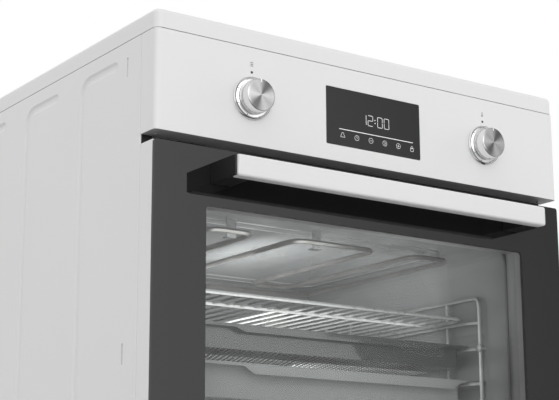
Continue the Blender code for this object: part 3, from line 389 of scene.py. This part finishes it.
def pane(recipe, tint, index):
    """A clear pane: what is behind it, tinted, under a sharp reflection off its outer side."""
    through = recipe.node("ShaderNodeBsdfTransparent", {"Color": tint})
    polish = {"Base Color": (1.0, 1.0, 1.0, 1.0), "Metallic": 1.0, "Roughness": 0.02}
    mirror = recipe.node("ShaderNodeBsdfPrincipled", polish)
    fresnel = recipe.node("ShaderNodeFresnel", {"IOR": index}).outputs["Fac"]
    outside = recipe.math("SUBTRACT", 1.0, recipe.node("ShaderNodeNewGeometry").outputs["Backfacing"])
    share = recipe.math("MULTIPLY", fresnel, outside)
    inputs = {0: share, 1: through.outputs["BSDF"], 2: mirror.outputs["BSDF"]}
    return recipe.node("ShaderNodeMixShader", inputs).outputs["Shader"]


def door_glass():
    """The outer door glass: painted black behind, but for a clear window with round corners."""
    recipe = black_glass("door_glass", 0.011)
    parts = recipe.node("ShaderNodeSeparateXYZ", {"Vector": recipe.place}).outputs
    height = (WINDOW_TOP - WINDOW_BASE) / 2
    middle = (WINDOW_TOP + WINDOW_BASE) / 2
    overs = []
    for part, centre, half in ((parts["X"], 0.0, WINDOW_HALF), (parts["Z"], middle, height)):
        distance = recipe.math("ABSOLUTE", recipe.math("SUBTRACT", part, centre))
        over = recipe.math("MAXIMUM", recipe.math("SUBTRACT", distance, half - WINDOW_CORNER), 0.0)
        overs.append(recipe.math("POWER", over, 2.0))
    reach = recipe.math("SQRT", recipe.math("ADD", *overs))
    clear = recipe.math("LESS_THAN", reach, WINDOW_CORNER)
    window = pane(recipe, (0.92, 0.92, 0.92, 1.0), 1.45)
    inputs = {0: clear, 1: recipe.shader.outputs["BSDF"], 2: window}
    recipe.surface(recipe.node("ShaderNodeMixShader", inputs).outputs["Shader"])
    return recipe.material


def clear_glass():
    """An inner door pane with a low-reflection coat and a faint film that varies over it."""
    recipe = Recipe("clear_glass", (0.9, 0.9, 0.9), 0.02)
    film = recipe.blend(recipe.noise(9.0, 3.0), (0.93, 0.94, 0.935), (0.97, 0.975, 0.97))
    recipe.surface(pane(recipe, film, 1.15))
    return recipe.material


def lamp_glass():
    """The frosted lamp cover, with moulded rings that scatter the light."""
    recipe = Recipe("lamp_glass", (0.40, 0.39, 0.37), 0.22)
    recipe.colour(recipe.blend(recipe.noise(70.0), (0.34, 0.33, 0.31), (0.46, 0.45, 0.43)))
    recipe.put("Transmission Weight", 0.4)
    recipe.put("IOR", 1.45)
    recipe.bump(recipe.cells(420.0), 0.0003)
    return recipe.material


def floor_paint():
    recipe = Recipe("floor_paint", (0.50, 0.50, 0.50), 0.55)
    recipe.colour(recipe.blend(recipe.noise(1.5), (0.48, 0.48, 0.48), (0.52, 0.52, 0.52)))
    return recipe.material


MATERIALS = {
    "white_enamel": white_enamel(),
    "black_enamel": black_enamel(),
    "grey_enamel": grey_enamel(),
    "tray_enamel": tray_enamel(),
    "collar_steel": collar_steel(),
    "door_glass": door_glass(),
    "display_glass": display_glass(),
    "hob_ceramic": hob_ceramic(),
    "clear_glass": clear_glass(),
    "lamp_glass": lamp_glass(),
    "galvanised": galvanised(),
    "chrome": chrome(),
    "bright_wire": bright_wire(),
    "element_steel": element_steel(),
    "black_plastic": black_plastic(),
    "grey_plastic": grey_plastic(),
    "heater_board": heater_board(),
    "dark_trim": dark_trim(),
    "wool": wool(),
    "seal": seal_braid(),
    "dark_ink": print_ink("dark_ink", 0.02),
    "grey_ink": print_ink("grey_ink", 0.42),
    "lit_mark": lit_mark(),
}
# Nodes whose finish differs from their record slot's own
OTHER_FINISH = {
    "door_outer_glass": "door_glass",
    "display_glass": "display_glass",
    "baking_tray": "tray_enamel",
    "door_frame": "collar_steel",
    "fan_cover": "grey_enamel",
    "front_frame": "grey_enamel",
    "wire_shelf": "bright_wire",
    "side_rack_left": "bright_wire",
    "side_rack_right": "bright_wire",
}
# Flat sheets whose shallow pressings keep their crisp slopes
PRESSED = ("side_panel_left", "side_panel_right", "rear_panel", "oven_cavity")


# ---------------------------------------------------------------- the CAD nodes


def soften(node, angle=math.radians(32)):
    """Shades a node's round surfaces smooth and leaves its vertices where they are."""
    mesh = node.data
    if mesh.has_custom_normals:
        mesh.attributes.remove(mesh.attributes["custom_normal"])
    mesh.shade_smooth()
    weld = node.modifiers.new("Weld", "WELD")
    weld.merge_threshold = 0.000002
    split = node.modifiers.new("Sharp edges", "EDGE_SPLIT")
    split.split_angle = angle
    normals = node.modifiers.new("Flat faces stay flat", "WEIGHTED_NORMAL")
    normals.weight = 100


def finish_nodes():
    slots = {part["node"]: part["material_slot"] for part in frame["record"]["subparts"]}
    for name, node in NODES.items():
        finish = OTHER_FINISH.get(name, slots[name])
        node.data.materials.clear()
        node.data.materials.append(MATERIALS[finish])
        if name not in PRESSED:
            soften(node)


def finish_knobs():
    for name in ("knob_left", "knob_right"):
        low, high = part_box(name)
        centre = (low + high) / 2
        NODES[name].data.materials[0] = turned_metal(name + "_metal", centre.x, centre.z, low.y)


def flanges_painted_shade():
    """The side panels' front flanges, behind the door, carry black enamel as painted shade for the dark
    gap between panel and door.
    """
    for name in ("side_panel_left", "side_panel_right"):
        panel = NODES[name]
        panel.data.materials.append(MATERIALS["black_enamel"])
        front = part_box(name)[0].y
        for face in panel.data.polygons:
            if face.normal.y < -0.9 and face.center.y < front + 0.001:
                face.material_index = 1


def slot_backs():
    """White plates behind the slots of the side panels."""
    shape = bmesh.new()
    low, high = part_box("side_panel_left")
    outer = abs(low.x) - SIDE_SHEET - 0.0001
    thickness = 0.0005
    half_y, half_z = SLOT_BACK_HALF
    for side in (-1, 1):
        for drop in SLOT_DROPS:
            level = high.z - drop
            corners = [(SLOT_Y - half_y, level - half_z), (SLOT_Y + half_y, level - half_z)]
            corners += [(SLOT_Y + half_y, level + half_z), (SLOT_Y - half_y, level + half_z)]
            near, far = side * outer, side * (outer - thickness)
            prism(shape, corners, near, far, lambda across, up, depth: (depth, across, up))
    new_piece("slot_backs", shape, "white_enamel", "cabinet")


def darken_handle_back():
    """The bar's back is black plastic, which the door glass mirrors."""
    handle = NODES["handle_bar"]
    handle.data.materials.append(MATERIALS["black_plastic"])
    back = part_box("handle_bar")[1].y
    for face in handle.data.polygons:
        if face.center.y > back - 0.0020:
            face.material_index = 1


# ---------------------------------------------------------------- making pieces


def new_piece(name, shape, finish, body, smooth=False):
    """Turns a bmesh into a piece that rides on a body."""
    mesh = bpy.data.meshes.new(name)
    bmesh.ops.recalc_face_normals(shape, faces=shape.faces[:])
    shape.to_mesh(mesh)
    shape.free()
    piece = bpy.data.objects.new(name, mesh)
    bpy.context.scene.collection.objects.link(piece)
    mesh.materials.append(MATERIALS[finish])
    if smooth:
        mesh.shade_smooth()
        mesh.set_sharp_from_angle(angle=math.radians(35))
    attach(piece, body)
    return piece


def prism(shape, outline, start, end, lay):
    """Adds a solid between two levels. lay turns (across, up, level) into a place."""
    near = [shape.verts.new(lay(*point, start)) for point in outline]
    far = [shape.verts.new(lay(*point, end)) for point in outline]
    shape.faces.new(near)
    shape.faces.new(far[::-1])
    count = len(outline)
    for index in range(count):
        after = (index + 1) % count
        shape.faces.new((near[index], far[index], far[after], near[after]))


def ring(shape, centre, outer, inner, start, end, lay, steps=40):
    """Adds a flat ring between two levels."""
    rows = []
    for radius, level in ((outer, start), (outer, end), (inner, end), (inner, start)):
        row = []
        for step in range(steps):
            angle = 2 * math.pi * step / steps
            across = centre[0] + radius * math.cos(angle)
            up = centre[1] + radius * math.sin(angle)
            row.append(shape.verts.new(lay(across, up, level)))
        rows.append(row)
    for first, second in zip(rows, rows[1:] + rows[:1]):
        for step in range(steps):
            after = (step + 1) % steps
            shape.faces.new((first[step], second[step], second[after], first[after]))


def circle(centre, radius, steps=20):
    points = []
    for step in range(steps):
        angle = 2 * math.pi * step / steps
        points.append((centre[0] + radius * math.cos(angle), centre[1] + radius * math.sin(angle)))
    return points


def bar(first, second, width):
    """The outline of a straight stroke from one point to another."""
    along = Vector(second) - Vector(first)
    side = Vector((-along.y, along.x)).normalized() * (width / 2)
    corners = (Vector(first) + side, Vector(first) - side, Vector(second) - side, Vector(second) + side)
    return [tuple(corner) for corner in corners]


def on_front(level):
    """Lays a print on a surface at y = level, facing -Y."""
    return lambda across, up, height: (across, level - height, up)


def on_top(level):
    """Lays a print on a surface at z = level, facing +Z."""
    return lambda across, up, height: (across, up, level + height)


def turned_shape(shape, profile, centre, axis, steps=24):
    """Adds a solid turned from (radius, height) points about an axis through centre."""
    turn = {"Y": Matrix.Rotation(math.pi / 2, 3, "X"), "X": Matrix.Rotation(math.pi / 2, 3, "Y")}
    rotation = turn.get(axis, Matrix.Identity(3))
    rows = []
    for radius, height in profile:
        if radius == 0:
            rows.append([shape.verts.new(Vector(centre) + rotation @ Vector((0, 0, height)))])
            continue
        row = []
        for step in range(steps):
            angle = 2 * math.pi * step / steps
            point = Vector((radius * math.cos(angle), radius * math.sin(angle), height))
            row.append(shape.verts.new(Vector(centre) + rotation @ point))
        rows.append(row)
    for first, second in zip(rows, rows[1:]):
        for step in range(steps):
            after = (step + 1) % steps
            corners = {
                first[step % len(first)]: None,
                second[step % len(second)]: None,
                second[after % len(second)]: None,
                first[after % len(first)]: None,
            }
            shape.faces.new(list(corners))


# ---------------------------------------------------------------- control panel


SEGMENTS = {"0": "abcdef", "1": "bc", "2": "abged"}


def digit(shape, symbol, left, base, width, height, lay):
    """Adds a seven-segment digit."""
    right, middle, top = left + width, base + height / 2, base + height
    gap = 0.0004
    ends = {
        "a": ((left + gap, top), (right - gap, top)),
        "b": ((right, top - gap), (right, middle + gap)),
        "c": ((right, middle - gap), (right, base + gap)),
        "d": ((left + gap, base), (right - gap, base)),
        "e": ((left, middle - gap), (left, base + gap)),
        "f": ((left, top - gap), (left, middle + gap)),
        "g": ((left + gap, middle), (right - gap, middle)),
    }
    for letter in SEGMENTS[symbol]:
        prism(shape, bar(*ends[letter], 0.0006), 0, INK, lay)


def display_marks():
    """The clock's digits, the line under them and a row of touch symbols."""
    low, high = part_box("display_glass")
    lay = on_front(low.y)
    middle = (low.x + high.x) / 2
    base = low.z + 0.0305
    shape = bmesh.new()
    width, height, pitch, colon_room = 0.0072, 0.0125, 0.0100, 0.0045
    left = middle + 0.003 - 2.2 * pitch
    for index, symbol in enumerate("1200"):
        start = left + pitch * index + (colon_room if index > 1 else 0.0)
        digit(shape, symbol, start, base, width, height, lay)
    colon = left + 2 * pitch + 0.0006
    for level in (0.35, 0.65):
        prism(shape, circle((colon, base + height * level), 0.0007, 8), 0, INK, lay)
    line = low.z + 0.0200
    prism(shape, bar((low.x + 0.0185, line), (high.x - 0.0110, line), 0.0008), 0, INK, lay)
    new_piece("clock_digits", shape, "lit_mark", "cabinet")

    shape = bmesh.new()
    level, first, spacing, size = low.z + 0.0125, low.x + 0.0235, 0.0210, 0.0033
    for index in range(6):
        touch_symbol(shape, index, (first + spacing * index, level), size, lay)
    new_piece("touch_symbols", shape, "lit_mark", "cabinet")


def touch_symbol(shape, kind, centre, size, lay):
    """Adds one of six plain symbols: bell, clock, minus, play, plus or lock."""
    x, z = centre
    stroke = 0.0004
    if kind == 0:
        outline = [(x - size, z - size * 0.6), (x + size, z - size * 0.6)]
        outline += [(x + size * 0.6, z + size * 0.2), (x + size * 0.3, z + size)]
        outline += [(x - size * 0.3, z + size), (x - size * 0.6, z + size * 0.2)]
        for first, second in zip(outline, outline[1:] + outline[:1]):
            prism(shape, bar(first, second, stroke), 0, INK, lay)
        return
    if kind == 5:
        ring(shape, (x, z + size * 0.4), size * 0.5, size * 0.5 - stroke, 0, INK, lay, 16)
        corners = [(x - size * 0.7, z + size * 0.1), (x + size * 0.7, z + size * 0.1)]
        corners += [(x + size * 0.7, z - size), (x - size * 0.7, z - size)]
        for first, second in zip(corners, corners[1:] + corners[:1]):
            prism(shape, bar(first, second, stroke), 0, INK, lay)
        return
    ring(shape, centre, size, size - stroke, 0, INK, lay, 24)
    strokes = {
        1: [((x, z), (x, z + size * 0.6)), ((x, z), (x + size * 0.45, z))],
        2: [((x - size * 0.5, z), (x + size * 0.5, z))],
        3: [((x - size * 0.2, z - size * 0.45), (x + size * 0.45, z)),
            ((x - size * 0.2, z + size * 0.45), (x + size * 0.45, z))],
        4: [((x - size * 0.5, z), (x + size * 0.5, z)), ((x, z - size * 0.5), (x, z + size * 0.5))],
    }
    for first, second in strokes[kind]:
        prism(shape, bar(first, second, stroke), 0, INK, lay)


def knob_marks():
    """The index dot and symbol over each knob, and the scale round each bezel."""
    face = on_front(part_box("display_glass")[0].y)
    shape = bmesh.new()
    scales = bmesh.new()
    for side, count in (("left", 8), ("right", 10)):
        low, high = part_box("knob_bezel_" + side)
        x, z = (low.x + high.x) / 2, (low.z + high.z) / 2
        prism(shape, circle((x, z + DOT_RISE), DOT_RADIUS), 0, INK, face)
        symbol = z + SYMBOL_RISE
        if side == "left":
            for step in (-0.0020, 0.0, 0.0020):
                level = symbol + step
                stroke = bar((x - SYMBOL_HALF, level), (x + SYMBOL_HALF, level), 0.0007)
                prism(shape, stroke, 0, INK, face)
        else:
            ring(shape, (x, symbol - 0.0016), 0.0014, 0.0008, 0, INK, face, 16)
            prism(shape, bar((x, symbol - 0.0006), (x, symbol + 0.0030), 0.0008), 0, INK, face)
        ledge = on_front(low.y + 0.0003)
        for radius in SCALE_LINES:
            ring(scales, (x, z), radius, radius - SCALE_LINE_WIDTH, *SCALE_DEPTH, ledge, 60)
        for index in range(count):
            angle = math.radians(90 + 360 * (index + 0.5) / count)
            size = 0.0005 + 0.00005 * index
            across, up = SCALE_MARK_RADIUS * math.cos(angle), SCALE_MARK_RADIUS * math.sin(angle)
            prism(scales, circle((x + across, z + up), size, 10), *SCALE_DEPTH, ledge)
    new_piece("panel_marks", shape, "dark_ink", "cabinet")
    new_piece("bezel_scales", scales, "dark_ink", "cabinet")


# ---------------------------------------------------------------- hob


def hob_print():
    """Rings round the cooking zones and a row of touch signs, printed on the glass."""
    top = on_top(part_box("hob_glass")[1].z)
    low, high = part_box("hob_glass")
    line, hairline, line_gap = 0.0012, 0.0006, 0.0035
    tick_reach = (0.016, 0.008)
    shape = bmesh.new()
    for place in ("front_left", "front_right", "rear_left", "rear_right"):
        near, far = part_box("radiant_heater_" + place)
        centre = ((near.x + far.x) / 2, (near.y + far.y) / 2)
        radius = (far.x - near.x) / 2
        ring(shape, centre, radius, radius - line, 0, INK, top, 72)
        inner = radius - line_gap
        ring(shape, centre, inner, inner - hairline, 0, INK, top, 72)
        for turn in range(4):
            angle = math.pi / 4 + math.pi / 2 * turn
            ray = Vector((math.cos(angle), math.sin(angle)))
            start, end = (Vector(centre) + ray * (radius - reach) for reach in tick_reach)
            prism(shape, bar(start, end, line), 0, INK, top)
    row = low.y + 0.024
    for index in range(-4, 5):
        x = SIGN_PITCH * index
        ring(shape, (x, row), SIGN_RADIUS, SIGN_RADIUS - SIGN_LINE, 0, INK, top, 28)
        if index % 2:
            prism(shape, bar((x - SIGN_HALF, row), (x + SIGN_HALF, row), SIGN_STROKE), 0, INK, top)
        if index % 4 == 1:
            prism(shape, bar((x, row - SIGN_HALF), (x, row + SIGN_HALF), SIGN_STROKE), 0, INK, top)
    edge, edge_line = 0.006, 0.0007
    corners = [(low.x + edge, low.y + edge), (high.x - edge, low.y + edge)]
    corners += [(high.x - edge, high.y - edge), (low.x + edge, high.y - edge)]
    for first, second in zip(corners, corners[1:] + corners[:1]):
        prism(shape, bar(first, second, edge_line), 0, INK, top)
    new_piece("hob_print", shape, "grey_ink", "cabinet")


# ---------------------------------------------------------------- oven cavity


def fan_cover_louvres_painted_highlights():
    """Rows of small pressed louvres over the fan cover, round its central air slots, made pale as
    painted highlights.
    """
    low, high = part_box("fan_cover")
    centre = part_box("fan_impeller")
    middle = (centre[0].z + centre[1].z) / 2
    shape = bmesh.new()
    pitch_x, pitch_z = 0.0085, 0.0042
    top_margin, side_margin = 0.007, 0.008
    slots_half_x, slots_half_z = 0.064, 0.052
    columns = int((high.x - 0.010) / pitch_x)
    rows = int((high.z - low.z - 0.012) / pitch_z)
    for row in range(rows):
        z = high.z - top_margin - pitch_z * row
        for column in range(-columns, columns + 1):
            x = pitch_x * (column + 0.5 * (row % 2))
            clear_of_slots = abs(x) > slots_half_x or abs(z - middle) > slots_half_z
            if clear_of_slots and abs(x) < high.x - side_margin:
                louvre(shape, x, z, low.y)
    # The pale finish is painted highlight on the louvres.
    new_piece("fan_cover_louvres_painted_highlights", shape, "bright_wire", "cabinet")


def louvre(shape, x, z, y):
    """Adds one louvre: a lip raised at its lower edge."""
    half, height, rise = 0.0030, 0.0022, 0.0012
    back = y + 0.0003
    corners = [(x - half, back, z), (x + half, back, z)]
    lips = [(x - half * 0.8, y - rise, z + 0.0002), (x + half * 0.8, y - rise, z + 0.0002)]
    tops = [(x - half * 0.8, back, z + height), (x + half * 0.8, back, z + height)]
    a, b, c, d, e, f = (shape.verts.new(point) for point in corners + lips + tops)
    for face in ((a, b, d, c), (c, d, f, e), (a, c, e), (b, f, d), (a, e, f, b)):
        shape.faces.new(face)


def tray_pips_painted_reflection():
    """Staggered rows of small raised pips pressed into the shallow tray's underside, made pale as a
    painted reflection of the fan cover's louvres.
    """
    tray = NODES["baking_tray"].data
    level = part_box("baking_tray")[0].z
    foot = [vertex.co for vertex in tray.vertices if vertex.co.z < level + 0.0005]
    front_margin, margin = 0.004, 0.010
    reach = max(point.x for point in foot) - margin
    start = min(point.y for point in foot) + front_margin
    end = max(point.y for point in foot) - margin
    shape = bmesh.new()
    half_x, half_y, rise = 0.0021, 0.0016, 0.0009
    pitch_x, pitch_y = 0.0072, 0.0090
    columns = int(reach / pitch_x)
    for row in range(int((end - start) / pitch_y)):
        y = start + pitch_y * row
        for column in range(-columns, columns + 1):
            x = pitch_x * (column + 0.5 * (row % 2))
            corners = [(x - half_x, y), (x, y - half_y), (x + half_x, y), (x, y + half_y)]
            rim = [shape.verts.new((*corner, level + 0.0001)) for corner in corners]
            tip = shape.verts.new((x, y, level - rise))
            for index in range(4):
                shape.faces.new((rim[index], rim[(index + 1) % 4], tip))
            shape.faces.new(rim[::-1])
    # The pale finish is a painted reflection on the dark tray.
    new_piece("tray_pips_painted_reflection", shape, "bright_wire", "upper_tray")


def rack_bolts():
    """The nuts and pins that fix the wire racks to the cavity walls."""
    shape = bmesh.new()
    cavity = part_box("oven_cavity")
    for side in (-1, 1):
        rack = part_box("side_rack_left" if side < 0 else "side_rack_right")
        wall = side * (cavity[1].x - 0.0014)
        for y in (rack[0].y + 0.0015, rack[1].y - 0.0015):
            profile = [(0, 0.0), (0.0060, 0.0), (0.0060, 0.0015), (0.0022, 0.0017)]
            profile += [(0.0022, 0.0105), (0.0046, 0.0107), (0.0050, 0.0140), (0.0030, 0.0155)]
            profile += [(0, 0.0158)]
            heights = [(radius, -side * height) for radius, height in profile]
            turned_shape(shape, heights, (wall, y, BOLT_LEVEL), "X", 16)
    new_piece("rack_bolts", shape, "bright_wire", "cabinet", True)


def ceiling_painted_highlight_beads():
    """Two fine raised lines that border the pressed ring in the cavity's ceiling, made pale as painted
    highlights along the ring's edges.
    """
    shape = bmesh.new()
    # The bead's section: how far each row of points stands from its line, and how deep
    section = ((0.0011, 0.0), (0.0007, 0.0009), (-0.0007, 0.0009), (-0.0011, 0.0))
    for inset in (0.0, 0.021):
        half_x, half_y = RING_HALF[0] - inset, RING_HALF[1] - inset
        outline = round_corners(RING_CENTRE, half_x, half_y, 0.036 - inset / 2)
        rows = []
        for spread, drop in section:
            row = []
            for point, away in outline:
                place = Vector(point) + Vector(away) * spread
                row.append(shape.verts.new((place.x, place.y, CEILING + 0.0002 - drop)))
            rows.append(row)
        for first, second in zip(rows, rows[1:] + rows[:1]):
            for index in range(len(first)):
                after = (index + 1) % len(first)
                shape.faces.new((first[index], second[index], second[after], first[after]))
    # The pale finish is painted highlight on the ring's edges.
    new_piece("ceiling_painted_highlight_beads", shape, "bright_wire", "cabinet", True)


def round_corners(centre, half_x, half_y, radius, steps=8):
    """A rectangle with round corners, as points paired with their outward directions."""
    outline = []
    for quarter, (side, end) in enumerate(((1, 1), (-1, 1), (-1, -1), (1, -1))):
        middle = Vector(centre) + Vector((side * (half_x - radius), end * (half_y - radius)))
        for step in range(steps + 1):
            angle = math.pi / 2 * (quarter + step / steps)
            away = Vector((math.cos(angle), math.sin(angle)))
            outline.append((middle + away * radius, away))
    return outline


def grill_clips():
    """Bent steel tabs that hold the grill element under the ceiling."""
    shape = bmesh.new()
    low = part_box("grill_element")[0]
    near, far = low.y + 0.014, low.y + 0.024
    half_width, sheet = 0.0065, 0.0012
    base = low.z - 0.0013
    for x in CLIP_PLACES:
        side = [(near, CEILING), (near, base - sheet), (far, base - sheet), (far, base)]
        side += [(near + sheet, base), (near + sheet, CEILING)]
        prism(shape, side, x - half_width, x + half_width, lambda across, up, level: (level, across, up))
    new_piece("grill_clips", shape, "bright_wire", "cabinet")


# ---------------------------------------------------------------- fasteners


def screw(shape, centre, axis, facing, radius):
    """Adds a domed screw head that faces along the axis or against it."""
    profile = [(radius * 1.1, 0.0), (radius, 0.0008), (radius * 0.75, 0.0017), (0, 0.0021)]
    turned_shape(shape, [(r, facing * h) for r, h in profile], centre, axis, 16)


def trim_screws():
    """The two screws under the control panel's strip."""
    shape = bmesh.new()
    low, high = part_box("panel_lower_trim")
    for x in (low.x + 0.012, high.x - 0.012):
        screw(shape, (x, high.y - 0.010, low.z + 0.0002), "Z", -1, 0.0022)
    new_piece("trim_screws", shape, "element_steel", "cabinet", True)


# ---------------------------------------------------------------- stage


def floor():
    """A plain painted floor, 10 m square, round the object's foot."""
    shape = bmesh.new()
    bmesh.ops.create_grid(shape, x_segments=8, y_segments=8, size=5.0)
    mesh = bpy.data.meshes.new("floor")
    shape.to_mesh(mesh)
    shape.free()
    mesh.materials.append(floor_paint())
    piece = bpy.data.objects.new("floor", mesh)
    bpy.context.scene.collection.objects.link(piece)


def camera():
    data = bpy.data.cameras.new("camera")
    data.sensor_width = 36.0
    data.lens = CAMERA_LENS
    level = math.cos(CAMERA_ELEVATION)
    forward = Vector(
        (math.sin(CAMERA_AZIMUTH) * level, math.cos(CAMERA_AZIMUTH) * level, math.sin(CAMERA_ELEVATION))
    )
    across = forward.cross(Vector((0, 0, 1))).normalized()
    up = across.cross(forward)
    turn, lean = math.cos(CAMERA_ROLL), math.sin(CAMERA_ROLL)
    across, up = turn * across + lean * up, turn * up - lean * across
    obj = bpy.data.objects.new("camera", data)
    axes = Matrix((across, up, -forward)).transposed().to_4x4()
    obj.matrix_world = Matrix.Translation(CAMERA_PLACE) @ axes
    bpy.context.scene.collection.objects.link(obj)
    bpy.context.scene.camera = obj


def studio():
    """A white cove that is brightest in front and dimmer on the right."""
    world = bpy.data.worlds.new("studio")
    world.use_nodes = True
    bpy.context.scene.world = world
    tree = world.node_tree
    shell = tree.nodes["Background"]
    direction = tree.nodes.new("ShaderNodeTexCoord").outputs["Generated"]
    parts = tree.nodes.new("ShaderNodeSeparateXYZ")
    tree.links.new(direction, parts.inputs[0])

    def ease(socket, start, end, low, high):
        node = tree.nodes.new("ShaderNodeMapRange")
        node.interpolation_type = "SMOOTHSTEP"
        tree.links.new(socket, node.inputs["Value"])
        for name, value in (("From Min", start), ("From Max", end), ("To Min", low), ("To Max", high)):
            node.inputs[name].default_value = value
        return node.outputs["Result"]

    sides = ease(parts.outputs["X"], 0.1, 0.75, 0.90, 0.40)
    front = ease(parts.outputs["Y"], -0.88, -0.62, 0.95, 0.0)
    total = tree.nodes.new("ShaderNodeMath")
    total.operation = "ADD"
    tree.links.new(sides, total.inputs[0])
    tree.links.new(front, total.inputs[1])
    seen = tree.nodes.new("ShaderNodeMix")
    tree.links.new(tree.nodes.new("ShaderNodeLightPath").outputs["Is Camera Ray"], seen.inputs[0])
    tree.links.new(total.outputs[0], seen.inputs[2])
    seen.inputs[3].default_value = 1.0
    tree.links.new(seen.outputs[0], shell.inputs["Strength"])
    shell.inputs["Color"].default_value = (1.0, 1.0, 1.0, 1.0)


def lamp(name, place, target, size, power, mirrored=False):
    """A soft area light the camera never sees. Mirrored lights show in reflections."""
    data = bpy.data.lights.new(name, "AREA")
    data.shape = "RECTANGLE"
    data.size, data.size_y = size
    data.energy = power
    obj = bpy.data.objects.new(name, data)
    obj.location = place
    obj.rotation_euler = (Vector(target) - Vector(place)).to_track_quat("-Z", "Y").to_euler()
    obj.visible_camera = False
    obj.visible_glossy = mirrored
    bpy.context.scene.collection.objects.link(obj)


def lights():
    low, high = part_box("oven_cavity")
    middle = (low.y + high.y) / 2
    over_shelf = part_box("wire_shelf")[1].z + 0.012
    mouth = low.y - 0.004
    # Name, place, target, size, power, and whether it shows in reflections
    lamp("ceiling_wash", (0.0, middle, over_shelf), (0.0, middle, 1.0), (0.40, 0.36), 0.6)
    lamp("wall_wash", (0.02, middle, 0.480), (1.0, middle, 1.050), (0.16, 0.34), 1.8)
    lamp("back_wash", (0.0, low.y + 0.110, 0.480), (0.0, 1.0, 0.480), (0.40, 0.26), 1.2)
    lamp("mouth_fill", (0.0, mouth, 0.470), (0.0, high.y, 0.520), (0.44, 0.30), 0.8)
    lamp("mouth_glint", (-0.05, mouth, 0.560), (0.0, high.y, 0.600), (0.36, 0.12), 0.35, True)
    lamp("right_fill", (2.6, -0.6, 1.4), (0.0, 0.0, 0.4), (1.6, 1.6), 22.0)


# ---------------------------------------------------------------- everything


camera()
studio()
lights()
floor()
bpy.context.scene.view_settings.view_transform = "Standard"

finish_nodes()
finish_knobs()
flanges_painted_shade()
slot_backs()
darken_handle_back()
display_marks()
knob_marks()
hob_print()
fan_cover_louvres_painted_highlights()
tray_pips_painted_reflection()
rack_bolts()
ceiling_painted_highlight_beads()
grill_clips()
trim_screws()
